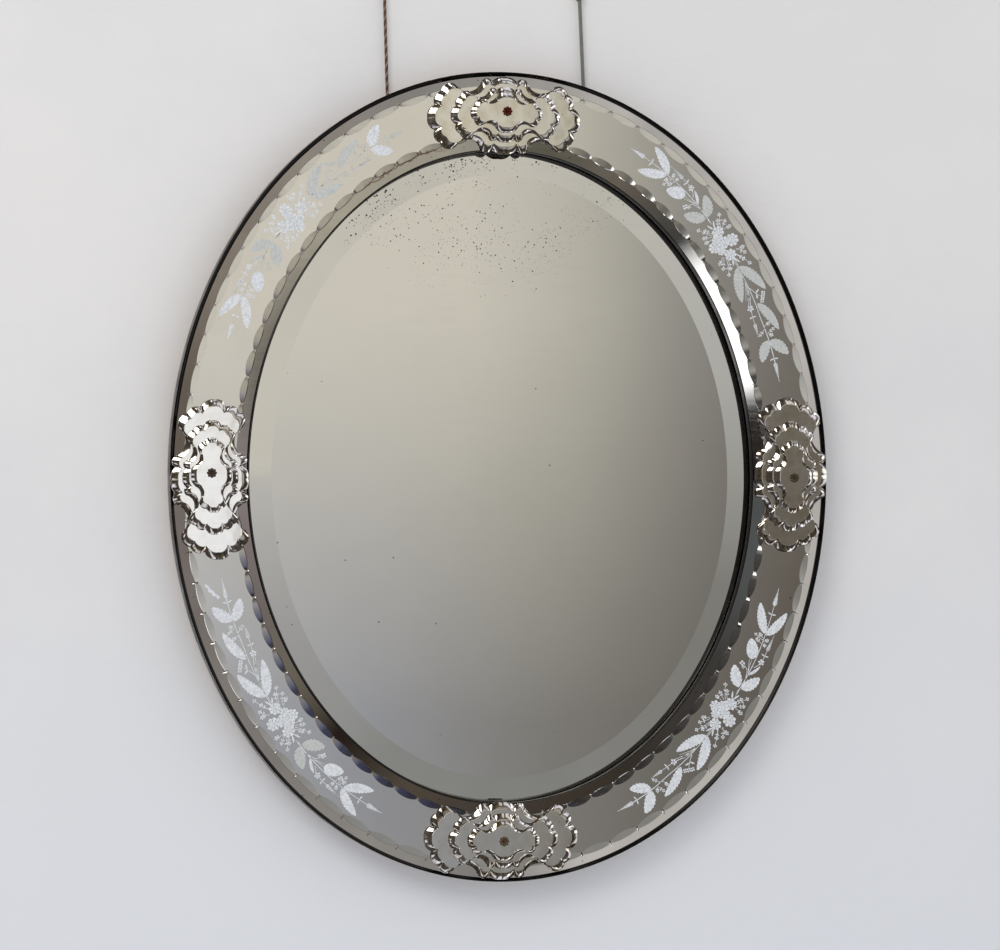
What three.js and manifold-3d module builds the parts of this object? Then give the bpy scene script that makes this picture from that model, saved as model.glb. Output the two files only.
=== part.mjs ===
// Oval wall mirror with an engraved mirror-glass frame and glass cartouches.
// Millimetres, +Z up. The wall is the plane y = 0 and the front faces -Y.
// The origin is the centre of the flat pad on the back of the backboard.

import * as THREE from 'three';
import Module from 'manifold-3d';
import { mergeVertices } from 'three/addons/utils/BufferGeometryUtils.js';

// Oval. Every outline runs parallel to this centre line of the frame, at an
// offset that is positive towards the outside.
const CENTRE_HALF_WIDTH = 298;
const CENTRE_HALF_HEIGHT = 364.5;
const OVAL_SEGMENTS = 72;

const OUTER_EDGE = 40.5;
const RIM_INNER = 36.5;
const RIM_CHAMFER = 0.8;
const SIGHT_EDGE = -38.2;
const INNER_LIP_OUTER = -36.5;
const REBATE_OUTER = -31.7;

// Depths, measured forwards from the wall.
const BOARD_BACK = 8;
const BOARD_FRONT = 17;
const FRAME_BACK = 17.3;
const REBATE_FRONT = 22.6;
const PLATE_BED = 27.2;
const PLATE_BACK = 27.5;
const PLATE_FRONT = 32.5;
const LIP_FRONT = 32.9;
const RIM_FRONT = 33.3;
const TIER_START = 33.6;
const GAP = 0.3;

// Backboard.
const BOARD_OUTER = 39.5;
const BOARD_CHAMFER_FOOT = 27;
const BOARD_EDGE_BACK = 15;
const PAD_OUTER = -30;
const PAD_ROUNDING = 1;

// Centre mirror.
const MIRROR_THICKNESS = 5;
const MIRROR_EDGE = 2.6;
const MIRROR_BEVEL = 24;

// Frame plates: four quarters of mirrored glass with cut borders.
const PLATE_OUTER = 36;
const PLATE_EDGE = 2.6;
const OUTER_BEVEL = 9.5;
const INNER_BEVEL = 11;
const LOBES = 14;
const LOBE_PITCH = 29.7;
const LOBE_STEPS = 3;
const END_STEPS = 3;
const CUT_HALF_WIDTH = 3.5;
const CUT_ROUNDNESS = 0.7;
const NOTCH_HALF_WIDTH = 0.7;
const JOINT_HALF_GAP = 0.25;

// Cartouches: three tiers of cusped glass, held by a rosette screw.
const TIERS = [
  { name: 'base', halfLength: 78.5, halfWidth: 38.5, thickness: 4.5, border: 6, plain: false },
  { name: 'middle', halfLength: 56, halfWidth: 27.5, thickness: 4.2, border: 5, plain: false },
  { name: 'top', halfLength: 36.5, halfWidth: 20, thickness: 3.8, border: 4.2, plain: true },
];
const TIER_EDGE = 1.6;
// Each rosette sits at radius and slide. A tier is seated along and out from it, leans
// with its cartouche, and bends with the ring: bend is the drop at the base's ends.
const CARTOUCHES = [
  {
    name: 'top', turn: 0, radius: 363.8, slide: -1.9,
    lean: 0, bend: 4, along: [0, 0, 0], out: [-3, -2.5, -1],
  },
  {
    name: 'right', turn: Math.PI / 2, radius: 299.5, slide: 0,
    lean: 0.01, bend: 4, along: [-3.3, -1.6, -1], out: [0, 0, 0],
  },
  {
    name: 'bottom', turn: Math.PI, radius: 363.8, slide: 4,
    lean: 0, bend: 3.5, along: [0, -1, 0], out: [0, 0, 0],
  },
  {
    name: 'left', turn: -Math.PI / 2, radius: 299.5, slide: 0,
    lean: -0.033, bend: 7, along: [-6.2, -4.2, -2], out: [0, 0, 0],
  },
];
const ROSETTE_RADIUS = 4.9;
const ROSETTE_VALLEY = 4;
const ROSETTE_PETALS = 8;
const ROSETTE_HEIGHT = 2.6;
const ROSETTE_RIM = 1.1;
const ROSETTE_CROWN = 0.4;

// Hangers, cords and wall hooks. Both cords lean a little to the left.
const HANGERS = [
  { name: 'left', x: -114.75, hookX: -119.1, cordRadius: 1.7 },
  { name: 'right', x: 90.1, hookX: 83.7, cordRadius: 1.8 },
];
const RING_CENTRE_Z = 348;
const RING_RADIUS = 6.5;
const RING_WIRE = 1.1;
const RING_SIDES = 6;
const RING_SEGMENTS = 12;
const KNUCKLE_RADIUS = 2.3;
const KNUCKLE_WIDTH = 7.2;
const KNUCKLE_SIDES = 8;
const CORD_DEPTH = 4.6;
const STRAP_WIDTH = 12;
const STRAP_LENGTH = 20;
const STRAP_THICKNESS = 1.2;
const STRAP_OVERLAP = 1;
const CORD_SIDES = 8;
const CORD_STEPS = 14;
const HOOK_TROUGH_Z = 501;
const HOOK_TROUGH_RADIUS = 3.2;
const HOOK_THICKNESS = 1.4;
const HOOK_TOP_Z = 538;
const HOOK_TIP = 6;
const HOOK_WIDTH = 9;
const HOOK_ARC_STEPS = 6;

const wasm = await Module();
wasm.setup();

const FINISHES = {
  agedMirror: new THREE.MeshStandardMaterial({ color: 0xb9b3a8, roughness: 0.08, metalness: 1 }),
  frameMirror: new THREE.MeshStandardMaterial({ color: 0xb3aba0, roughness: 0.1, metalness: 1 }),
  cartoucheGlass: new THREE.MeshStandardMaterial({ color: 0xc9c4b4, roughness: 0.08, metalness: 1 }),
  ebonisedWood: new THREE.MeshStandardMaterial({ color: 0x0c0b0b, roughness: 0.25, metalness: 0 }),
  backWood: new THREE.MeshStandardMaterial({ color: 0x6a4e33, roughness: 0.75, metalness: 0 }),
  rosetteBrass: new THREE.MeshStandardMaterial({ color: 0x6e4a34, roughness: 0.4, metalness: 1 }),
  hangerBrass: new THREE.MeshStandardMaterial({ color: 0x8a7448, roughness: 0.4, metalness: 1 }),
  brownCord: new THREE.MeshStandardMaterial({ color: 0x6b5546, roughness: 0.9, metalness: 0 }),
  greyCord: new THREE.MeshStandardMaterial({ color: 0x80807a, roughness: 0.85, metalness: 0 }),
};

// A point on the outline at an offset from the centre line, at a depth.
function ovalPoint(angle, offset, depth) {
  const c = Math.cos(angle);
  const s = Math.sin(angle);
  const normal = new THREE.Vector2(c / CENTRE_HALF_WIDTH, s / CENTRE_HALF_HEIGHT).normalize();
  return new THREE.Vector3(
    CENTRE_HALF_WIDTH * c + offset * normal.x,
    -depth,
    CENTRE_HALF_HEIGHT * s + offset * normal.y,
  );
}

// Arc length along one quarter of the centre line, from the +X end, and its inverse.
const QUARTER_STEPS = 2000;
const quarterLengths = [0];
for (let i = 1; i <= QUARTER_STEPS; i += 1) {
  const a = ovalPoint(((i - 1) / QUARTER_STEPS) * (Math.PI / 2), 0, 0);
  const b = ovalPoint((i / QUARTER_STEPS) * (Math.PI / 2), 0, 0);
  quarterLengths.push(quarterLengths[i - 1] + a.distanceTo(b));
}
const QUARTER_LENGTH = quarterLengths[QUARTER_STEPS];

function quarterAngle(length) {
  let i = 1;
  while (i < QUARTER_STEPS && quarterLengths[i] < length) i += 1;
  const span = quarterLengths[i] - quarterLengths[i - 1];
  const part = (length - quarterLengths[i - 1]) / span;
  return ((i - 1 + part) / QUARTER_STEPS) * (Math.PI / 2);
}

// The angle on the oval at a length into one of its quarters. Quarter 0 runs
// from +X to +Z, and the odd quarters mirror it.
function quarterPlace(quarter, length) {
  if (quarter % 2 === 0) return quarter * (Math.PI / 2) + quarterAngle(length);
  return (quarter + 1) * (Math.PI / 2) - quarterAngle(QUARTER_LENGTH - length);
}

function facetedGeometry(positions) {
  const geometry = new THREE.BufferGeometry();
  geometry.setAttribute('position', new THREE.Float32BufferAttribute(positions, 3));
  return geometry;
}

function signedVolume(positions) {
  let volume = 0;
  const [a, b, c] = [new THREE.Vector3(), new THREE.Vector3(), new THREE.Vector3()];
  for (let i = 0; i < positions.length; i += 9) {
    a.fromArray(positions, i);
    b.fromArray(positions, i + 3);
    c.fromArray(positions, i + 6);
    volume += a.dot(b.cross(c)) / 6;
  }
  return volume;
}

// Turns a list of triangles, each of three points, into a closed body that faces out.
function closedBody(triangles) {
  let positions = triangles.flatMap((t) => t.flatMap((p) => p.toArray()));
  if (signedVolume(positions) < 0) {
    positions = triangles.flatMap(([a, b, c]) => [a, c, b].flatMap((p) => p.toArray()));
  }
  return facetedGeometry(positions);
}

// Skins neighbouring loops of equal length. Loops close on themselves.
function skin(loops, ringed) {
  const triangles = [];
  const last = ringed ? loops.length : loops.length - 1;
  for (let i = 0; i < last; i += 1) {
    const low = loops[i];
    const high = loops[(i + 1) % loops.length];
    for (let j = 0; j < low.length; j += 1) {
      const k = (j + 1) % low.length;
      triangles.push([low[j], low[k], high[k]], [low[j], high[k], high[j]]);
    }
  }
  return triangles;
}

// A flat cap over one loop. flat gives each point's place in the loop's own plane.
function cap(loop, flat, reverse) {
  const faces = THREE.ShapeUtils.triangulateShape(loop.map(flat), []);
  return faces.map(([a, b, c]) => (reverse ? [loop[a], loop[c], loop[b]] : [loop[a], loop[b], loop[c]]));
}

// A body made of a stack of loops with a cap at each end.
function stackedBody(loops, flat) {
  const first = loops[0];
  const last = loops[loops.length - 1];
  const sameWay = THREE.ShapeUtils.isClockWise(first.map(flat));
  return closedBody([
    ...skin(loops, false),
    ...cap(first, flat, !sameWay),
    ...cap(last, flat, sameWay),
  ]);
}

const frontPlane = (p) => new THREE.Vector2(p.x, p.z);

function ovalLoop(offset, depth) {
  return Array.from({ length: OVAL_SEGMENTS }, (_, i) =>
    ovalPoint((i / OVAL_SEGMENTS) * 2 * Math.PI, offset, depth));
}

// The ebonised wooden border: a tray with an outer rim, an inner lip that stands
// proud as the black line around the centre mirror, and a rebate behind it.
function borderFrameGeometry() {
  const profile = [
    [REBATE_OUTER, FRAME_BACK],
    [REBATE_OUTER, REBATE_FRONT],
    [SIGHT_EDGE, REBATE_FRONT],
    [SIGHT_EDGE, LIP_FRONT],
    [INNER_LIP_OUTER, LIP_FRONT],
    [INNER_LIP_OUTER, PLATE_BED],
    [RIM_INNER, PLATE_BED],
    [RIM_INNER, RIM_FRONT],
    [OUTER_EDGE - RIM_CHAMFER, RIM_FRONT],
    [OUTER_EDGE, RIM_FRONT - RIM_CHAMFER],
    [OUTER_EDGE, FRAME_BACK],
  ];
  return closedBody(skin(profile.map(([offset, depth]) => ovalLoop(offset, depth)), true));
}

// The backboard: an oval board, chamfered behind, with a raised pad that meets the wall.
function backboardGeometry() {
  return stackedBody([
    ovalLoop(BOARD_OUTER, BOARD_FRONT),
    ovalLoop(BOARD_OUTER, BOARD_EDGE_BACK),
    ovalLoop(BOARD_CHAMFER_FOOT, BOARD_BACK),
    ovalLoop(PAD_OUTER, BOARD_BACK),
    ovalLoop(PAD_OUTER - PAD_ROUNDING, 0),
  ], frontPlane);
}

// The centre mirror: oval glass with a wide bevel, its edge held behind the lip.
function centreMirrorGeometry() {
  const edge = REBATE_OUTER - GAP;
  return stackedBody([
    ovalLoop(edge, FRAME_BACK),
    ovalLoop(edge, FRAME_BACK + MIRROR_EDGE),
    ovalLoop(SIGHT_EDGE - MIRROR_BEVEL, FRAME_BACK + MIRROR_THICKNESS),
  ], frontPlane);
}

// Half width of the scoop between bevel and field, at a place along the lobes.
function cutHalfWidth(step) {
  const place = (step % LOBE_STEPS) / LOBE_STEPS;
  const bulge = Math.sin(Math.PI * place) ** CUT_ROUNDNESS;
  return NOTCH_HALF_WIDTH + (CUT_HALF_WIDTH - NOTCH_HALF_WIDTH) * bulge;
}

// One border of a plate's section, from the glass edge to the field.
function plateBorder(edge, bevel, halfWidth) {
  const inward = Math.sign(edge);
  const arris = edge - inward * bevel;
  const footDepth = PLATE_BACK + PLATE_EDGE;
  const slope = (PLATE_FRONT - footDepth) / bevel;
  return [
    [edge, PLATE_BACK],
    [edge, footDepth],
    [arris + inward * halfWidth, PLATE_FRONT - slope * halfWidth],
    [arris - inward * halfWidth, PLATE_FRONT],
  ];
}

// A quarter of the mirrored frame: bevelled on both curved edges, with a row of
// thumb-shaped cuts and small notches where each bevel meets the flat field.
function framePlateGeometry(quarter) {
  const lobesStart = (QUARTER_LENGTH - LOBES * LOBE_PITCH) / 2;
  const plainEnd = Array.from({ length: END_STEPS }, (_, i) =>
    JOINT_HALF_GAP + (i / END_STEPS) * (lobesStart - JOINT_HALF_GAP));
  const columns = [
    ...plainEnd.map((length) => ({ length, halfWidth: NOTCH_HALF_WIDTH })),
    ...Array.from({ length: LOBES * LOBE_STEPS + 1 }, (_, step) => ({
      length: lobesStart + (step / LOBE_STEPS) * LOBE_PITCH,
      halfWidth: cutHalfWidth(step),
    })),
    ...plainEnd.map((length) => ({
      length: QUARTER_LENGTH - length,
      halfWidth: NOTCH_HALF_WIDTH,
    })).reverse(),
  ];
  const sections = columns.map(({ length, halfWidth }) => {
    const angle = quarterPlace(quarter, length);
    const outer = plateBorder(PLATE_OUTER, OUTER_BEVEL, halfWidth);
    const inner = plateBorder(-PLATE_OUTER, INNER_BEVEL, halfWidth).reverse();
    return [...outer, ...inner].map(([offset, depth]) => ovalPoint(angle, offset, depth));
  });
  const fan = (loop) => loop.slice(1, -1).map((p, i) => [loop[0], p, loop[i + 2]]);
  return closedBody([
    ...skin(sections, false),
    ...fan(sections[0]).map(([a, b, c]) => [a, c, b]),
    ...fan(sections[sections.length - 1]),
  ]);
}

// Points of an arc from p to q that bulges to the left of its chord by sagitta.
function arcPoints(p, q, sagitta, steps) {
  const chord = q.clone().sub(p);
  const half = chord.length() / 2;
  const side = new THREE.Vector2(chord.y, -chord.x).normalize();
  const radius = (half * half + sagitta * sagitta) / (2 * Math.abs(sagitta));
  const sweep = Math.asin(half / radius);
  const sign = Math.sign(sagitta);
  const centre = p.clone().add(q).multiplyScalar(0.5)
    .addScaledVector(side, sagitta - sign * radius);
  const points = [];
  for (let i = 1; i <= steps; i += 1) {
    const turn = -sweep + (2 * sweep * i) / steps;
    const out = side.clone().multiplyScalar(sign * radius * Math.cos(turn));
    const across = chord.clone().normalize().multiplyScalar(radius * Math.sin(turn));
    points.push(centre.clone().add(out).add(across));
  }
  return points;
}

// A quarter of a cusped outline, from the end lobe's tip to the middle of a long
// side. Lengths are shares of the half length and half width.
function quarterOutline(halfLength, halfWidth, plain) {
  const at = (u, v) => new THREE.Vector2(u * halfLength, v * halfWidth);
  const sag = (share) => share * halfWidth;
  const tip = at(1, 0);
  if (plain) {
    return [
      tip,
      ...arcPoints(tip, at(0.9, 0.34), sag(0.06), 2),
      ...arcPoints(at(0.9, 0.34), at(0.68, 0.64), sag(0.12), 2),
      ...arcPoints(at(0.68, 0.64), at(0.32, 0.72), sag(-0.12), 2),
      ...arcPoints(at(0.32, 0.72), at(0, 1), sag(0.09), 2),
    ];
  }
  return [
    tip,
    ...arcPoints(tip, at(0.905, 0.33), sag(0.055), 2),
    ...arcPoints(at(0.905, 0.33), at(0.835, 0.67), sag(0.06), 2),
    ...arcPoints(at(0.835, 0.67), at(0.64, 0.8), sag(0.1), 2),
    ...arcPoints(at(0.64, 0.8), at(0.31, 0.83), sag(-0.19), 3),
    ...arcPoints(at(0.31, 0.83), at(0.165, 0.89), sag(0.08), 2),
    at(0, 1),
  ];
}

function fullOutline(tier) {
  const quarter = quarterOutline(tier.halfLength, tier.halfWidth, tier.plain);
  const upperLeft = quarter.slice(0, -1).map((p) => new THREE.Vector2(-p.x, p.y)).reverse();
  const upper = [...quarter, ...upperLeft];
  const lower = upper.slice(1, -1).map((p) => new THREE.Vector2(p.x, -p.y)).reverse();
  return [...upper, ...lower];
}

// One tier of a cartouche: cusped glass with a raised flat inside a sloping border.
function tierGeometry(tier, bend) {
  const outline = fullOutline(tier);
  const drop = (x) => bend * (x / TIERS[0].halfLength) ** 2;
  const shrinkLong = (tier.halfLength - tier.border) / tier.halfLength;
  const shrinkWide = (tier.halfWidth - tier.border) / tier.halfWidth;
  const loop = (long, wide, height) => outline.map((p) =>
    new THREE.Vector3(p.x * long, -height, p.y * wide - drop(p.x * long)));
  return stackedBody([
    loop(1, 1, 0),
    loop(1, 1, TIER_EDGE),
    loop(shrinkLong, shrinkWide, tier.thickness),
  ], frontPlane);
}

// The rosette: an eight-petalled screw head with a raised centre.
function rosetteGeometry() {
  const points = Array.from({ length: ROSETTE_PETALS * 2 }, (_, i) => {
    const radius = i % 2 === 0 ? ROSETTE_RADIUS : ROSETTE_VALLEY;
    const angle = (i / (ROSETTE_PETALS * 2)) * 2 * Math.PI;
    return new THREE.Vector2(radius * Math.cos(angle), radius * Math.sin(angle));
  });
  const loop = (scale, height) => points.map((p) =>
    new THREE.Vector3(p.x * scale, -height, p.y * scale));
  return stackedBody([
    loop(1, 0),
    loop(1, ROSETTE_RIM),
    loop(ROSETTE_CROWN, ROSETTE_HEIGHT),
  ], frontPlane);
}

function toManifold(geometry) {
  const bare = geometry.clone();
  bare.deleteAttribute('normal');
  bare.deleteAttribute('uv');
  const merged = mergeVertices(bare, 1e-4);
  return new wasm.Manifold(new wasm.Mesh({
    numProp: 3,
    vertProperties: new Float32Array(merged.attributes.position.array),
    triVerts: new Uint32Array(merged.index.array),
  }));
}

function fromManifold(solid) {
  const mesh = solid.getMesh();
  const geometry = new THREE.BufferGeometry();
  geometry.setAttribute('position', new THREE.BufferAttribute(new Float32Array(mesh.vertProperties), 3));
  geometry.setIndex(new THREE.BufferAttribute(new Uint32Array(mesh.triVerts), 1));
  return geometry;
}

// A hanger: a strap on the board's back with a knuckle that carries a ring.
function hangerGeometry(x) {
  const front = BOARD_BACK - GAP;
  const knuckleZ = RING_CENTRE_Z - RING_RADIUS;
  const strap = new THREE.BoxGeometry(STRAP_WIDTH, STRAP_THICKNESS, STRAP_LENGTH)
    .translate(x, -front + STRAP_THICKNESS / 2, knuckleZ - STRAP_LENGTH / 2 + STRAP_OVERLAP);
  const knuckle = new THREE.CylinderGeometry(KNUCKLE_RADIUS, KNUCKLE_RADIUS, KNUCKLE_WIDTH, KNUCKLE_SIDES)
    .rotateZ(Math.PI / 2)
    .translate(x, -front + KNUCKLE_RADIUS, knuckleZ);
  const ring = new THREE.TorusGeometry(RING_RADIUS, RING_WIRE, RING_SIDES, RING_SEGMENTS)
    .rotateX(Math.PI / 2)
    .translate(x, -CORD_DEPTH, RING_CENTRE_Z);
  const solid = toManifold(strap).add(toManifold(knuckle)).add(toManifold(ring));
  return fromManifold(solid);
}

// The cord's straight stretch: from just above the ring to just below the wall hook.
function cordGeometry(hanger) {
  const bottom = new THREE.Vector3(hanger.x, -CORD_DEPTH, RING_CENTRE_Z + RING_RADIUS + RING_WIRE + GAP);
  const hookBottom = HOOK_TROUGH_Z - HOOK_TROUGH_RADIUS - HOOK_THICKNESS;
  const top = new THREE.Vector3(hanger.hookX, -CORD_DEPTH, hookBottom - GAP);
  const section = new THREE.Shape(Array.from({ length: CORD_SIDES }, (_, i) => {
    const angle = (i / CORD_SIDES) * 2 * Math.PI;
    return new THREE.Vector2(Math.cos(angle), Math.sin(angle)).multiplyScalar(hanger.cordRadius);
  }));
  return new THREE.ExtrudeGeometry(section, {
    steps: CORD_STEPS,
    extrudePath: new THREE.LineCurve3(bottom, top),
    bevelEnabled: false,
  });
}

// A wall hook: a strip of metal bent into a trough that carries the cord's loop.
function wallHookGeometry() {
  const centre = HOOK_THICKNESS + HOOK_TROUGH_RADIUS;
  const outerRadius = HOOK_TROUGH_RADIUS + HOOK_THICKNESS;
  const arc = (radius) => Array.from({ length: HOOK_ARC_STEPS + 1 }, (_, i) => {
    const angle = Math.PI + (i / HOOK_ARC_STEPS) * Math.PI;
    return new THREE.Vector2(centre + radius * Math.cos(angle), HOOK_TROUGH_Z + radius * Math.sin(angle));
  });
  const tipZ = HOOK_TROUGH_Z + HOOK_TIP;
  const profile = [
    new THREE.Vector2(0, HOOK_TOP_Z),
    ...arc(outerRadius),
    new THREE.Vector2(centre + outerRadius, tipZ),
    new THREE.Vector2(centre + HOOK_TROUGH_RADIUS, tipZ),
    ...arc(HOOK_TROUGH_RADIUS).reverse(),
    new THREE.Vector2(HOOK_THICKNESS, HOOK_TOP_Z),
  ];
  const side = (x) => profile.map((p) => new THREE.Vector3(x, -p.x, p.y));
  return stackedBody([side(-HOOK_WIDTH / 2), side(HOOK_WIDTH / 2)], (p) => new THREE.Vector2(p.y, p.z));
}

function piece(name, geometry, material) {
  const mesh = new THREE.Mesh(geometry, material);
  mesh.name = name;
  return mesh;
}

const mirror = new THREE.Group();
mirror.add(piece('backboard', backboardGeometry(), FINISHES.backWood));
mirror.add(piece('border_frame', borderFrameGeometry(), FINISHES.ebonisedWood));
mirror.add(piece('centre_mirror', centreMirrorGeometry(), FINISHES.agedMirror));

['upper_right', 'upper_left', 'lower_left', 'lower_right'].forEach((place, quarter) => {
  mirror.add(piece(`frame_plate_${place}`, framePlateGeometry(quarter), FINISHES.frameMirror));
});

CARTOUCHES.forEach(({ name, turn, radius, slide, lean, bend, along, out }) => {
  const cartouche = new THREE.Group();
  cartouche.rotation.y = turn;
  let depth = TIER_START;
  TIERS.forEach((tier, level) => {
    const mesh = piece(`cartouche_${name}_${tier.name}`, tierGeometry(tier, bend), FINISHES.cartoucheGlass);
    mesh.position.set(slide + along[level], -depth, radius + out[level]);
    mesh.rotation.y = lean;
    cartouche.add(mesh);
    depth += tier.thickness + GAP;
  });
  const rosette = piece(`rosette_screw_${name}`, rosetteGeometry(), FINISHES.rosetteBrass);
  rosette.position.set(slide, -depth, radius);
  cartouche.add(rosette);
  mirror.add(cartouche);
});

HANGERS.forEach((hanger) => {
  mirror.add(piece(`hanger_${hanger.name}`, hangerGeometry(hanger.x), FINISHES.hangerBrass));
  const cordFinish = hanger.name === 'left' ? FINISHES.brownCord : FINISHES.greyCord;
  mirror.add(piece(`cord_${hanger.name}`, cordGeometry(hanger), cordFinish));
  const hook = piece(`wall_hook_${hanger.name}`, wallHookGeometry(), FINISHES.hangerBrass);
  hook.position.x = hanger.hookX;
  mirror.add(hook);
});

export default mirror;
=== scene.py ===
"""Oval wall mirror: bevelled centre glass, engraved mirror-glass frame, cartouches and cords.

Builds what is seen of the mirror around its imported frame. Lengths are metres, +Z is up, the
wall is the plane y = 0 and the front faces -Y. A depth is a distance in front of the wall.
An offset runs across the oval ring from its centre line, positive towards the outside.
"""

import logging
import math
from dataclasses import dataclass, field, replace
from enum import Enum

import bmesh
import bpy
import numpy as np
from mathutils import Matrix, Vector


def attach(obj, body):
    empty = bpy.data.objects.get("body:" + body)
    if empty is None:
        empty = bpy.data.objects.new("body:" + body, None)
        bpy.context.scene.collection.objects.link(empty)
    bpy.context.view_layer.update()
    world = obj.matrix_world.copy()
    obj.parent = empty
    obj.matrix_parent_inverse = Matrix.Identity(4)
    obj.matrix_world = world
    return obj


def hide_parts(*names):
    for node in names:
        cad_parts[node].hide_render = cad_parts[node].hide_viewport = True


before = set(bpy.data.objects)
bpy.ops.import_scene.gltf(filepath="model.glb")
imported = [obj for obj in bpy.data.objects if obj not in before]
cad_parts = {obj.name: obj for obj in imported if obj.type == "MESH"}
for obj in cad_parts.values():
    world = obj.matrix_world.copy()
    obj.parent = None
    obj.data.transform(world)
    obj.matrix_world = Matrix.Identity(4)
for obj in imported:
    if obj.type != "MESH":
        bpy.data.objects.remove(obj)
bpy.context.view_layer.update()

BODY = "root"
MM = 0.001
CORD_FEET = {"left": (-0.11475, -0.0046, 0.3559), "right": (0.0901, -0.0046, 0.3559)}
CORD_HEADS = {"left": (-0.1191, -0.0046, 0.4961), "right": (0.0837, -0.0046, 0.4961)}

Socket = bpy.types.NodeSocket
Colour = tuple[float, float, float]
Stop = tuple[float, float, float, float]

log = logging.getLogger("wall_mirror")


def srgb(red: float, green: float, blue: float) -> Colour:
    """Turns a display colour into the linear colour that shaders use.

    Args:
        red: Red from 0 to 255.
        green: Green from 0 to 255.
        blue: Blue from 0 to 255.

    Returns:
        The linear colour, each part from 0 to 1.
    """
    parts = (part / 255 for part in (red, green, blue))
    return tuple(p / 12.92 if p <= 0.04045 else ((p + 0.055) / 1.055) ** 2.4 for p in parts)


class Slot(Enum):
    """The record's material slots."""

    BACK_WOOD = "back_wood"
    EBONISED_WOOD = "ebonised_wood"
    AGED_MIRROR = "aged_mirror"
    FRAME_MIRROR = "frame_mirror"
    CARTOUCHE_GLASS = "cartouche_glass"
    ROSETTE_BRASS = "rosette_brass"
    HANGER_BRASS = "hanger_brass"
    BROWN_CORD = "brown_cord"
    GREY_CORD = "grey_cord"


class Quarter(Enum):
    """The four quarters of the ring, counted counter-clockwise from the right-hand end."""

    UPPER_RIGHT = 0
    UPPER_LEFT = 1
    LOWER_LEFT = 2
    LOWER_RIGHT = 3

    @property
    def label(self) -> str:
        """The quarter's name as the nodes spell it."""
        return self.name.lower()


@dataclass(frozen=True)
class Oval:
    """The centre line of the ring, and the curves that run parallel to it."""

    half_width: float = 0.298
    half_height: float = 0.3645
    samples: int = 7201

    def place(self, angle: np.ndarray, offset: np.ndarray, depth: np.ndarray) -> np.ndarray:
        """Finds points on parallel curves.

        Args:
            angle: Places round the oval, in radians from the right-hand end.
            offset: Distances outwards from the centre line.
            depth: Distances in front of the wall.

        Returns:
            The points, with a last axis of three.
        """
        cosine = np.cos(angle)
        sine = np.sin(angle)
        across = cosine / self.half_width
        up = sine / self.half_height
        size = np.hypot(across, up)
        x = self.half_width * cosine + offset * across / size
        z = self.half_height * sine + offset * up / size
        return np.stack(np.broadcast_arrays(x, -np.asarray(depth, float), z), axis=-1)

    def walk(self, quarter: Quarter, length: np.ndarray, offset: float = 0.0) -> np.ndarray:
        """Finds the angles at lengths into a quarter.

        Args:
            quarter: The quarter, whose start is its clockwise end.
            length: Lengths along the parallel curve from that start.
            offset: Which parallel curve is measured.

        Returns:
            The angles in radians.
        """
        angles = np.linspace(0, 2 * math.pi, self.samples)
        points = self.place(angles, offset, 0.0)
        steps = np.linalg.norm(np.diff(points, axis=0), axis=1)
        lengths = np.concatenate([[0.0], np.cumsum(steps)])
        start = lengths[-1] / 4 * quarter.value
        return np.interp(start + np.asarray(length), lengths, angles)

    def quarter_length(self) -> float:
        """The length of a quarter of the centre line."""
        angles = np.linspace(0, math.pi / 2, self.samples)
        return float(np.linalg.norm(np.diff(self.place(angles, 0.0, 0.0), axis=0), axis=1).sum())

    def loop(self, offset: float, depth: float, segments: int) -> np.ndarray:
        """A closed parallel curve of evenly spread points, at one depth."""
        return self.place(np.arange(segments) / segments * 2 * math.pi, offset, depth)


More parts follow.
